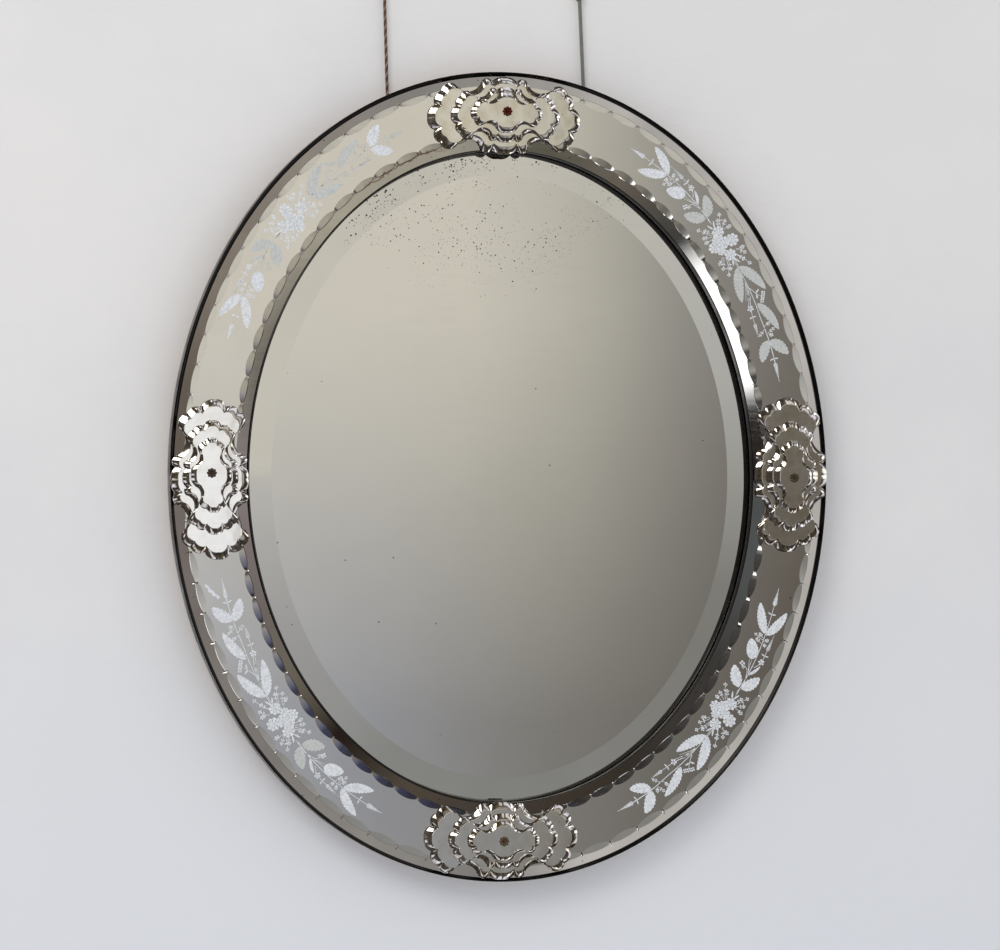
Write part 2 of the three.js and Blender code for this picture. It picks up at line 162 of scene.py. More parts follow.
class Solid:
    """Gathers the points and faces of one piece and makes its object."""

    def __init__(self, name: str) -> None:
        """Starts an empty piece.

        Args:
            name: The piece's name.
        """
        self.name = name
        self.points: list[np.ndarray] = []
        self.faces: list[tuple[int, ...]] = []
        self.slots: list[int] = []
        self.count = 0

    def add_points(self, points: np.ndarray) -> np.ndarray:
        """Adds points and returns their indices in the shape that they came in."""
        flat = np.asarray(points, float).reshape(-1, 3)
        self.points.append(flat)
        indices = np.arange(self.count, self.count + len(flat))
        self.count += len(flat)
        return indices.reshape(np.asarray(points).shape[:-1])

    def add_face(self, indices: np.ndarray, slot: int = 0) -> None:
        """Adds one face of any number of corners."""
        self.faces.append(tuple(int(i) for i in indices))
        self.slots.append(slot)

    def sheet(self, rows: np.ndarray, wrap_rows: bool, wrap_columns: bool, slot: int = 0) -> np.ndarray:
        """Skins a grid of points with four-cornered faces.

        Args:
            rows: Points in rows and columns.
            wrap_rows: Whether the last row joins the first.
            wrap_columns: Whether the last column joins the first.
            slot: The finish of these faces.

        Returns:
            The grid of point indices.
        """
        grid = self.add_points(rows)
        low = grid if wrap_rows else grid[:-1]
        high = np.roll(grid, -1, axis=0) if wrap_rows else grid[1:]
        if wrap_columns:
            corners = (low, np.roll(low, -1, axis=1), np.roll(high, -1, axis=1), high)
        else:
            corners = (low[:, :-1], low[:, 1:], high[:, 1:], high[:, :-1])
        quads = np.stack(corners, axis=-1).reshape(-1, 4)
        self.faces.extend(map(tuple, quads.tolist()))
        self.slots.extend([slot] * len(quads))
        return grid

    def stack(self, loops: list[np.ndarray], slot: int = 0) -> None:
        """Skins a stack of closed loops and caps both ends."""
        grid = self.sheet(np.stack(loops), False, True, slot)
        self.add_face(grid[0][::-1], slot)
        self.add_face(grid[-1], slot)

    def tube(self, path: np.ndarray, radius: float, sides: int, slot: int = 0) -> None:
        """Adds a round bar along a path, with flat ends.

        Args:
            path: The points of its middle line.
            radius: Its radius.
            sides: How many sides its section has.
            slot: Its finish.
        """
        path = np.asarray(path, float)
        along = np.gradient(path, axis=0)
        along /= np.linalg.norm(along, axis=1)[:, None]
        side = np.cross(along[0], (0.0, 1.0, 0.0) if abs(along[0][1]) < 0.9 else (1.0, 0.0, 0.0))
        turns = np.arange(sides) / sides * 2 * math.pi
        loops = []
        for point, ahead in zip(path, along):
            side = side - ahead * side.dot(ahead)
            side /= np.linalg.norm(side)
            other = np.cross(ahead, side)
            ring = np.cos(turns)[:, None] * side + np.sin(turns)[:, None] * other
            loops.append(point + radius * ring)
        self.stack(loops, slot)

    def build(self, finishes: list["Finish"], crease: float | None = None) -> bpy.types.Object:
        """Makes the object.

        Args:
            finishes: The finish of each slot number.
            crease: The angle in degrees over which an edge stays sharp, or None for flat faces.

        Returns:
            The new object, in the scene.
        """
        mesh = bpy.data.meshes.new(self.name)
        mesh.from_pydata(np.concatenate(self.points).tolist(), [], self.faces)
        for finish in finishes:
            mesh.materials.append(finish.material())
        mesh.polygons.foreach_set("material_index", self.slots)
        shape = bmesh.new()
        shape.from_mesh(mesh)
        bmesh.ops.recalc_face_normals(shape, faces=shape.faces)
        shape.to_mesh(mesh)
        shape.free()
        if crease is not None:
            mesh.shade_smooth()
            mesh.set_sharp_from_angle(angle=math.radians(crease))
            for polygon in mesh.polygons:
                polygon.use_smooth = len(polygon.vertices) <= 4
        piece = bpy.data.objects.new(self.name, mesh)
        bpy.context.scene.collection.objects.link(piece)
        return piece


def round_corners(outline: list[tuple[float, float]], radius: float,
                  steps: int = 4) -> list[tuple[float, float]]:
    """Rounds each corner of a closed outline.

    Args:
        outline: Its corners, in order.
        radius: How far from each corner the rounding starts.
        steps: The number of stretches in each rounding.

    Returns:
        The rounded outline.
    """
    rounded = []
    corners = [np.array(corner) for corner in outline]
    for index, corner in enumerate(corners):
        before = corners[index - 1] - corner
        after = corners[(index + 1) % len(corners)] - corner
        most = 0.45
        reach = min(radius, np.linalg.norm(before) * most, np.linalg.norm(after) * most)
        start = corner + before / np.linalg.norm(before) * reach
        end = corner + after / np.linalg.norm(after) * reach
        for share in np.linspace(0, 1, steps + 1):
            point = (1 - share) ** 2 * start + 2 * share * (1 - share) * corner + share**2 * end
            rounded.append(tuple(point))
    return rounded


def dress(piece: bpy.types.Object, slot: Slot, *nodes: str) -> bpy.types.Object:
    """Declares a piece: what it rides on and the nodes that it stands for.

    Args:
        piece: The piece.
        slot: The record's material slot; not used.
        nodes: The nodes that it replaces.

    Returns:
        The same piece.
    """
    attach(piece, BODY)
    if nodes:
        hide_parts(*nodes)
    log.info("%s: %d faces", piece.name, len(piece.data.polygons))
    return piece


class Graph:
    """Short calls for the nodes of one material, group or world."""

    def __init__(self, tree: bpy.types.NodeTree) -> None:
        """Empties a tree and works on it.

        Args:
            tree: The node tree.
        """
        self.tree = tree
        tree.nodes.clear()

    def add(self, kind: str, **settings: object) -> bpy.types.Node:
        """Adds a node of a kind, with the given properties."""
        node = self.tree.nodes.new(kind)
        for key, value in settings.items():
            setattr(node, key, value)
        return node

    def feed(self, socket: Socket, value: object) -> None:
        """Links a socket to another, or sets its own value."""
        if isinstance(value, Socket):
            self.tree.links.new(value, socket)
        elif socket.type == "RGBA":
            socket.default_value = (*value, 1.0)
        else:
            socket.default_value = value

    def math(self, operation: str, *values: object, clamp: bool = False) -> Socket:
        """Adds a Math node and returns its result."""
        node = self.add("ShaderNodeMath", operation=operation, use_clamp=clamp)
        for socket, value in zip(node.inputs, values):
            self.feed(socket, value)
        return node.outputs[0]

    def product(self, *values: object) -> Socket:
        """Multiplies values."""
        result = values[0]
        for value in values[1:]:
            result = self.math("MULTIPLY", result, value)
        return result

    def vector(self, operation: str, *values: object) -> bpy.types.Node:
        """Adds a Vector Math node."""
        node = self.add("ShaderNodeVectorMath", operation=operation)
        for socket, value in zip(node.inputs, values):
            self.feed(socket, value)
        return node

    def split(self, vector: object) -> list[Socket]:
        """The three parts of a vector."""
        node = self.add("ShaderNodeSeparateXYZ")
        self.feed(node.inputs[0], vector)
        return list(node.outputs)

    def scaled(self, vector: Socket, scale: tuple[float, float, float]) -> Socket:
        """Multiplies a vector by three numbers."""
        return self.vector("MULTIPLY", vector, scale).outputs[0]

    def remap(self, value: object, low: float, high: float, first: float = 0.0, last: float = 1.0,
              smooth: bool = True) -> Socket:
        """Carries a value from one range to another, clamped, by a smooth or a straight step."""
        way = "SMOOTHSTEP" if smooth else "LINEAR"
        node = self.add("ShaderNodeMapRange", interpolation_type=way, clamp=True)
        for socket, given in zip(node.inputs, (value, low, high, first, last)):
            self.feed(socket, given)
        return node.outputs[0]

    def band(self, value: object, rise: tuple[float, float], fall: tuple[float, float]) -> Socket:
        """Gives 1 between a smooth rise and a smooth fall, and 0 outside them."""
        return self.product(self.remap(value, *rise), self.remap(value, *fall, 1.0, 0.0))

    def blend(self, factor: object, first: object, second: object) -> Socket:
        """Mixes two colours."""
        node = self.add("ShaderNodeMix", data_type="RGBA", blend_type="MIX", clamp_factor=True)
        for index, value in zip((0, 6, 7), (factor, first, second)):
            self.feed(node.inputs[index], value)
        return node.outputs[2]

    def ramp(self, value: object, stops: list[Stop]) -> Socket:
        """Colours a value from 0 to 1 by stops: a place, then red, green and blue, with white at 255."""
        node = self.add("ShaderNodeValToRGB")
        self.feed(node.inputs[0], value)
        elements = node.color_ramp.elements
        while len(elements) < len(stops):
            elements.new(1.0)
        for element, (position, *colour) in zip(elements, stops):
            element.position = position
            element.color = (*srgb(*colour), 1.0)
        return node.outputs[0]

    def noise(self, vector: object, scale: float, detail: float = 3.0, rough: float = 0.5) -> Socket:
        """Adds soft noise and returns its value."""
        node = self.add("ShaderNodeTexNoise")
        self.feed(node.inputs["Vector"], vector)
        node.inputs["Scale"].default_value = scale
        node.inputs["Detail"].default_value = detail
        node.inputs["Roughness"].default_value = rough
        return node.outputs[0]

    def position(self) -> Socket:
        """The point on the surface, in metres."""
        return self.add("ShaderNodeTexCoord").outputs["Object"]

    def bump(self, height: object, distance: float, strength: float = 1.0) -> Socket:
        """Turns a height into a surface normal."""
        node = self.add("ShaderNodeBump")
        node.inputs["Strength"].default_value = strength
        node.inputs["Distance"].default_value = distance
        self.feed(node.inputs["Height"], height)
        return node.outputs[0]


@dataclass(frozen=True)
class Effect:
    """A surface effect that several finishes share, as one node group."""

    name: str
    inputs: tuple[tuple[str, str], ...]
    outputs: tuple[tuple[str, str], ...]

    def fill(self, graph: Graph, entry: bpy.types.Node, leave: bpy.types.Node) -> None:
        """Adds the effect's nodes between its entry and its exit."""
        raise NotImplementedError

    def group(self) -> bpy.types.NodeTree:
        """Makes the group on first use and returns it."""
        if self.name in bpy.data.node_groups:
            return bpy.data.node_groups[self.name]
        tree = bpy.data.node_groups.new(self.name, "ShaderNodeTree")
        for label, kind in self.inputs:
            tree.interface.new_socket(label, in_out="INPUT", socket_type=kind)
        for label, kind in self.outputs:
            tree.interface.new_socket(label, in_out="OUTPUT", socket_type=kind)
        graph = Graph(tree)
        self.fill(graph, graph.add("NodeGroupInput"), graph.add("NodeGroupOutput"))
        return tree

    def place(self, graph: Graph, **values: object) -> bpy.types.Node:
        """Places the group in a finish.

        Args:
            graph: The finish's graph.
            values: A value or socket for each input, by its name.

        Returns:
            The group's node.
        """
        node = graph.add("ShaderNodeGroup", node_tree=self.group())
        for label, value in values.items():
            graph.feed(node.inputs[label], value)
        return node


FLOAT = "NodeSocketFloat"
VECTOR = "NodeSocketVector"


class Specks(Effect):
    """Small round specks where the silvering has died, thicker where the density is higher."""

    def fill(self, graph: Graph, entry: bpy.types.Node, leave: bpy.types.Node) -> None:
        """Compares the distance to the nearest random point with that point's own size."""
        cells = graph.add("ShaderNodeTexVoronoi")
        cells.inputs["Randomness"].default_value = 1.0
        graph.feed(cells.inputs["Vector"], entry.outputs["Position"])
        graph.feed(cells.inputs["Scale"], entry.outputs["Scale"])
        lot = graph.add("ShaderNodeSeparateColor")
        graph.feed(lot.inputs[0], cells.outputs["Color"])
        present = graph.math("LESS_THAN", lot.outputs[0], entry.outputs["Density"])
        size = graph.math("MULTIPLY_ADD", lot.outputs[1], 0.26, 0.07)
        edge = graph.math("SUBTRACT", size, cells.outputs["Distance"])
        disc = graph.math("MULTIPLY", edge, 14.0, clamp=True)
        graph.feed(leave.inputs["Mask"], graph.product(disc, present))


class Haze(Effect):
    """The uneven polish of old glass: faint clouds and wiping marks, as a roughness."""

    def fill(self, graph: Graph, entry: bpy.types.Node, leave: bpy.types.Node) -> None:
        """Mixes broad clouds with long fine streaks."""
        position = entry.outputs["Position"]
        clouds = graph.noise(position, 9.0, 4.0, 0.6)
        streaks = graph.noise(graph.scaled(position, (30.0, 30.0, 220.0)), 1.0, 2.0)
        both = graph.math("MULTIPLY_ADD", streaks, 0.35, graph.product(clouds, 0.65))
        share = graph.remap(both, 0.38, 0.68)
        spread = graph.math("SUBTRACT", entry.outputs["High"], entry.outputs["Low"])
        graph.feed(leave.inputs["Roughness"], graph.math("MULTIPLY_ADD", share, spread, entry.outputs["Low"]))


class Grain(Effect):
    """Wood grain that runs up the board: a pattern of rings and fine pores."""

    def fill(self, graph: Graph, entry: bpy.types.Node, leave: bpy.types.Node) -> None:
        """Stretches noise along the grain and adds fine pores."""
        position = entry.outputs["Position"]
        warp = graph.noise(graph.scaled(position, (9.0, 9.0, 1.4)), 1.0, 3.0, 0.55)
        across = graph.math("MULTIPLY_ADD", graph.split(position)[0], 46.0, graph.product(warp, 9.0))
        rings = graph.math("MULTIPLY_ADD", graph.math("SINE", graph.product(across, 4.2)), 0.5, 0.5)
        pores = graph.noise(graph.scaled(position, (1400.0, 1400.0, 60.0)), 1.0, 2.0)
        graph.feed(leave.inputs["Rings"], rings)
        graph.feed(leave.inputs["Pores"], pores)


SPECKS = Specks("dead_silver_specks",
                (("Position", VECTOR), ("Scale", FLOAT), ("Density", FLOAT)), (("Mask", FLOAT),))
HAZE = Haze("old_glass_haze",
            (("Position", VECTOR), ("Low", FLOAT), ("High", FLOAT)), (("Roughness", FLOAT),))
GRAIN = Grain("wood_grain", (("Position", VECTOR),), (("Rings", FLOAT), ("Pores", FLOAT)))


@dataclass(frozen=True)
class Finish:
    """A surface finish, made once as a material."""

    name: str

    def paint(self, graph: Graph, shader: bpy.types.Node) -> None:
        """Adds the finish's nodes and sets the shader's own values."""
        raise NotImplementedError

    def material(self) -> bpy.types.Material:
        """Makes the material on first use and returns it."""
        if self.name in bpy.data.materials:
            return bpy.data.materials[self.name]
        material = bpy.data.materials.new(self.name)
        material.use_nodes = True
        graph = Graph(material.node_tree)
        shader = graph.add("ShaderNodeBsdfPrincipled")
        end = graph.add("ShaderNodeOutputMaterial")
        graph.feed(end.inputs["Surface"], shader.outputs[0])
        self.paint(graph, shader)
        return material


@dataclass(frozen=True)
class CentreSilver(Finish):
    """Old silvering behind the centre glass, with a cloud of specks below its upper edge."""

    tint: Colour = (0.95, 0.95, 0.94)
    speck: Colour = srgb(62, 56, 48)
    cloud_centre: tuple[float, float] = (-0.035, 0.275)
    cloud_reach: tuple[float, float] = (0.16, 0.095)

    def paint(self, graph: Graph, shader: bpy.types.Node) -> None:
        """Darkens the specks and lets the polish vary."""
        position = graph.position()
        shares = []
        for part, centre, reach in zip(graph.split(position)[::2], self.cloud_centre, self.cloud_reach):
            away = graph.math("SUBTRACT", part, centre)
            shares.append(graph.math("POWER", graph.math("DIVIDE", away, reach), 2.0))
        spread = graph.remap(graph.math("ADD", *shares), 0.2, 1.2, 1.0, 0.0)
        patches = graph.remap(graph.noise(position, 26.0, 3.0, 0.6), 0.44, 0.56, 0.06, 1.0)
        thick = graph.product(spread, patches)
        fine = SPECKS.place(graph, Position=position, Scale=430.0, Density=graph.product(thick, 0.85))
        coarse = SPECKS.place(graph, Position=position, Scale=205.0,
                              Density=graph.math("MULTIPLY_ADD", thick, 0.8, 0.004))
        specks = graph.math("MAXIMUM", fine.outputs[0], coarse.outputs[0])
        veil = graph.remap(graph.noise(position, 6.0, 4.0, 0.6), 0.35, 0.7, 0.0, 0.1)
        glass = graph.blend(veil, self.tint, srgb(214, 212, 208))
        faded = graph.product(specks, 0.85)
        graph.feed(shader.inputs["Base Color"], graph.blend(faded, glass, self.speck))
        haze = HAZE.place(graph, Position=position, Low=0.03, High=0.075)
        dull = graph.math("MULTIPLY_ADD", specks, 0.25, haze.outputs[0])
        graph.feed(shader.inputs["Roughness"], dull)
        shader.inputs["Metallic"].default_value = 1.0


@dataclass(frozen=True)
class PlateSilver(Finish):
    """Silvering of the frame plates, with rust-brown stains along the inner edge."""

    tint: Colour = (0.95, 0.945, 0.93)
    stain: Colour = srgb(150, 100, 44)
    stain_amount: float = 0.0
    stain_place: tuple[float, float] = (-0.112, 0.316)
    stain_reach: float = 0.062
    half_axes: tuple[float, float] = (0.298, 0.3645)
    stain_share: float = 0.92

    def paint(self, graph: Graph, shader: bpy.types.Node) -> None:
        """Adds a few specks, stains and the uneven polish."""
        position = graph.position()
        specks = SPECKS.place(graph, Position=position, Scale=210.0, Density=0.035)
        cloud = graph.remap(graph.noise(position, 12.0, 5.0, 0.62), 0.3, 0.72, 0.0, 0.16)
        glass = graph.blend(cloud, self.tint, srgb(206, 202, 200))
        flat = graph.scaled(position, (1 / self.half_axes[0], 0.0, 1 / self.half_axes[1]))
        reach = graph.vector("LENGTH", flat)
        threads = graph.math("MULTIPLY_ADD", graph.noise(position, 55.0, 4.0, 0.65), 0.05, -0.025)
        strayed = graph.math("ADD", graph.math("SUBTRACT", reach.outputs["Value"], self.stain_share), threads)
        line = graph.remap(graph.math("ABSOLUTE", strayed), 0.0, 0.0045, 1.0, 0.0)
        away = graph.vector("DISTANCE", graph.scaled(position, (1.0, 0.0, 1.0)),
                            (self.stain_place[0], 0.0, self.stain_place[1]))
        patch = graph.remap(away.outputs["Value"], self.stain_reach * 0.4, self.stain_reach, 1.0, 0.0)
        rust = graph.product(line, patch, self.stain_amount)
        marked = graph.blend(graph.product(specks.outputs[0], 0.55), glass, srgb(80, 70, 60))
        graph.feed(shader.inputs["Base Color"], graph.blend(rust, marked, self.stain))
        haze = HAZE.place(graph, Position=position, Low=0.025, High=0.08)
        graph.feed(shader.inputs["Roughness"], haze.outputs[0])
        shader.inputs["Metallic"].default_value = 1.0


@dataclass(frozen=True)
class CartoucheSilver(Finish):
    """Silvered glass of the cartouches, a little yellow in the borders, whose darker, browner copy is painted
    shade.
    """

    tint: Colour = (0.95, 0.94, 0.90)
    warm: Colour = srgb(206, 186, 138)
    warmth: float = 0.3
    sway: tuple[float, float] = (0.0, 0.0)
    polish: tuple[float, float] = (0.03, 0.09)

    def paint(self, graph: Graph, shader: bpy.types.Node) -> None:
        """Lets the tint and the polish vary, with a slight wave in the glass."""
        position = graph.position()
        patches = graph.remap(graph.noise(position, 60.0, 3.0, 0.6), 0.4, 0.66, 0.0, self.warmth)
        specks = SPECKS.place(graph, Position=position, Scale=420.0, Density=0.05)
        glass = graph.blend(patches, self.tint, self.warm)
        marked = graph.blend(graph.product(specks.outputs[0], 0.5), glass, srgb(92, 82, 62))
        graph.feed(shader.inputs["Base Color"], marked)
        haze = HAZE.place(graph, Position=position, Low=self.polish[0], High=self.polish[1])
        graph.feed(shader.inputs["Roughness"], haze.outputs[0])
        wave = graph.noise(position, 55.0, 1.0)
        leant = graph.vector("ADD", graph.bump(wave, 0.0004, 0.3), (self.sway[0], 0.0, self.sway[1]))
        normal = graph.vector("NORMALIZE", leant.outputs[0])
        graph.feed(shader.inputs["Normal"], normal.outputs[0])
        shader.inputs["Metallic"].default_value = 1.0


@dataclass(frozen=True)
class Frosting(Finish):
    """The white frosted ground of the engraving."""

    pale: Colour = srgb(232, 235, 238)
    deep: Colour = srgb(204, 209, 214)
    clarity: float = 0.0

    def paint(self, graph: Graph, shader: bpy.types.Node) -> None:
        """Mottles the frosting like ground glass."""
        position = graph.position()
        mottle = graph.remap(graph.noise(position, 420.0, 3.0, 0.6), 0.32, 0.68)
        graph.feed(shader.inputs["Base Color"], graph.blend(mottle, self.pale, self.deep))
        rough = graph.remap(graph.noise(position, 900.0, 2.0), 0.3, 0.7, 0.45, 0.72)
        graph.feed(shader.inputs["Roughness"], rough)
        graph.feed(shader.inputs["Normal"], graph.bump(graph.noise(position, 1500.0, 2.0), 0.0001, 0.4))
        shader.inputs["Metallic"].default_value = self.clarity
        shader.inputs["Specular IOR Level"].default_value = 0.6


@dataclass(frozen=True)
class BlackLacquer(Finish):
    """Black polish on wood, brown where it is rubbed."""

    black: Colour = (0.003, 0.0028, 0.0032)
    rubbed: Colour = srgb(46, 34, 28)

    def paint(self, graph: Graph, shader: bpy.types.Node) -> None:
        """Adds rubbed spots and a slightly uneven gloss."""
        position = graph.position()
        worn = graph.remap(graph.noise(position, 140.0, 5.0, 0.7), 0.64, 0.74, 0.0, 0.7)
        graph.feed(shader.inputs["Base Color"], graph.blend(worn, self.black, self.rubbed))
        gloss = graph.remap(graph.noise(position, 40.0, 3.0), 0.3, 0.7, 0.16, 0.34)
        graph.feed(shader.inputs["Roughness"], gloss)
        pores = GRAIN.place(graph, Position=position)
        graph.feed(shader.inputs["Normal"], graph.bump(pores.outputs["Pores"], 0.0002, 0.2))
        shader.inputs["Specular IOR Level"].default_value = 0.28


@dataclass(frozen=True)
class OldBoard(Finish):
    """Bare old softwood, dark and dusty."""

    light: Colour = srgb(138, 108, 74)
    dark: Colour = srgb(116, 87, 57)
    dust: Colour = srgb(150, 140, 124)

    def paint(self, graph: Graph, shader: bpy.types.Node) -> None:
        """Lays grain, pores and dust over each other."""
        position = graph.position()
        grain = GRAIN.place(graph, Position=position)
        rings = graph.remap(grain.outputs["Rings"], 0.15, 0.95)
        wood = graph.blend(rings, self.light, self.dark)
        pored = graph.blend(graph.remap(grain.outputs["Pores"], 0.55, 0.75, 0.0, 0.5), wood, srgb(60, 42, 28))
        dusty = graph.remap(graph.noise(position, 11.0, 4.0, 0.65), 0.4, 0.7, 0.0, 0.45)
        graph.feed(shader.inputs["Base Color"], graph.blend(dusty, pored, self.dust))
        graph.feed(shader.inputs["Roughness"], graph.remap(grain.outputs["Rings"], 0.0, 1.0, 0.62, 0.85))
        graph.feed(shader.inputs["Normal"], graph.bump(grain.outputs["Pores"], 0.0004, 0.6))
        shader.inputs["Specular IOR Level"].default_value = 0.3


@dataclass(frozen=True)
class OldBrass(Finish):
    """Brass under a brown patina that is rubbed bright in places."""

    patina: Colour = srgb(112, 72, 48)
    bright: Colour = srgb(196, 160, 100)
    brightness: float = 0.3

    def paint(self, graph: Graph, shader: bpy.types.Node) -> None:
        """Mixes patina and rubbed metal."""
        position = graph.position()
        rubbed = graph.remap(graph.noise(position, 520.0, 4.0, 0.65), 0.5, 0.72, 0.0, self.brightness)
        graph.feed(shader.inputs["Base Color"], graph.blend(rubbed, self.patina, self.bright))
        graph.feed(shader.inputs["Roughness"], graph.remap(graph.noise(position, 300.0), 0.3, 0.7, 0.3, 0.55))
        graph.feed(shader.inputs["Normal"], graph.bump(graph.noise(position, 900.0), 0.0002, 0.4))
        shader.inputs["Metallic"].default_value = 0.85


@dataclass(frozen=True)
class Yarn(Finish):
    """Textile yarn with fine fibres along it."""

    colour: Colour = srgb(120, 96, 78)
    shade: Colour = srgb(64, 50, 40)

    def paint(self, graph: Graph, shader: bpy.types.Node) -> None:
        """Streaks the yarn along its length."""
        position = graph.position()
        fibres = graph.noise(graph.scaled(position, (2600.0, 2600.0, 900.0)), 1.0, 3.0, 0.6)
        share = graph.remap(fibres, 0.35, 0.65)
        graph.feed(shader.inputs["Base Color"], graph.blend(share, self.shade, self.colour))
        graph.feed(shader.inputs["Roughness"], graph.remap(fibres, 0.3, 0.7, 0.75, 0.95))
        graph.feed(shader.inputs["Normal"], graph.bump(fibres, 0.0004, 0.8))
        shader.inputs["Specular IOR Level"].default_value = 0.2


@dataclass(frozen=True)
class Plaster(Finish):
    """Painted plaster, seen from its front only."""

    pale: Colour = srgb(232, 231, 230)
    shade: Colour = srgb(226, 226, 227)
    painted_cool_light: Colour = srgb(226, 229, 234)
    one_sided: bool = True

    def paint(self, graph: Graph, shader: bpy.types.Node) -> None:
        """Adds faint clouds, trowel marks and painted cool light low down, and lets the back of the wall be
        seen through.
        """
        position = graph.position()
        clouds = graph.remap(graph.noise(position, 2.4, 5.0, 0.6), 0.35, 0.65)
        # Painted light: the wall blends to a cooler tone towards the bottom, for the bluer light that falls
        # there.
        fall = graph.remap(graph.split(position)[2], 0.15, -0.6)
        painted = graph.blend(clouds, self.pale, self.shade)
        graph.feed(shader.inputs["Base Color"], graph.blend(fall, painted, self.painted_cool_light))
        trowel = graph.noise(graph.scaled(position, (9.0, 9.0, 26.0)), 1.0, 6.0, 0.65)
        graph.feed(shader.inputs["Normal"], graph.bump(trowel, 0.004, 0.25))
        shader.inputs["Roughness"].default_value = 0.9
        shader.inputs["Specular IOR Level"].default_value = 0.1
        if self.one_sided:
            end = next(n for n in graph.tree.nodes if n.type == "OUTPUT_MATERIAL")
            mix = graph.add("ShaderNodeMixShader")
            graph.feed(mix.inputs[0], graph.add("ShaderNodeNewGeometry").outputs["Backfacing"])
            graph.feed(mix.inputs[1], shader.outputs[0])
            graph.feed(mix.inputs[2], graph.add("ShaderNodeBsdfTransparent").outputs[0])
            graph.feed(end.inputs["Surface"], mix.outputs[0])


@dataclass
class PhotoCamera:
    """The camera: a little to the left of the mirror and just below its middle."""

    place: tuple[float, float, float] = (-0.9449, -3.7313, -0.1006)
    target: tuple[float, float, float] = (0.0, -0.0325, 0.0)
    roll_degrees: float = 0.09
    sensor: float = 36.0
    frame_width: float = 1000.0
    focal_pixels: float = 3818.9
    centre_right_pixels: float = 5.27
    centre_down_pixels: float = 0.79

    def build(self) -> bpy.types.Object:
        """Makes the camera and the scene's colour handling."""
        data = bpy.data.cameras.new("photo_camera")
        data.sensor_width = self.sensor
        data.lens = self.sensor * self.focal_pixels / self.frame_width
        data.shift_x = -self.centre_right_pixels / self.frame_width
        data.shift_y = self.centre_down_pixels / self.frame_width
        camera = bpy.data.objects.new("photo_camera", data)
        bpy.context.scene.collection.objects.link(camera)
        ahead = (Vector(self.target) - Vector(self.place)).normalized()
        turn = ahead.to_track_quat("-Z", "Y").to_matrix().to_4x4()
        roll = Matrix.Rotation(math.radians(self.roll_degrees), 4, "Z")
        camera.matrix_world = Matrix.Translation(self.place) @ turn @ roll
        bpy.context.scene.camera = camera
        bpy.context.scene.view_settings.view_transform = "Standard"
        return camera


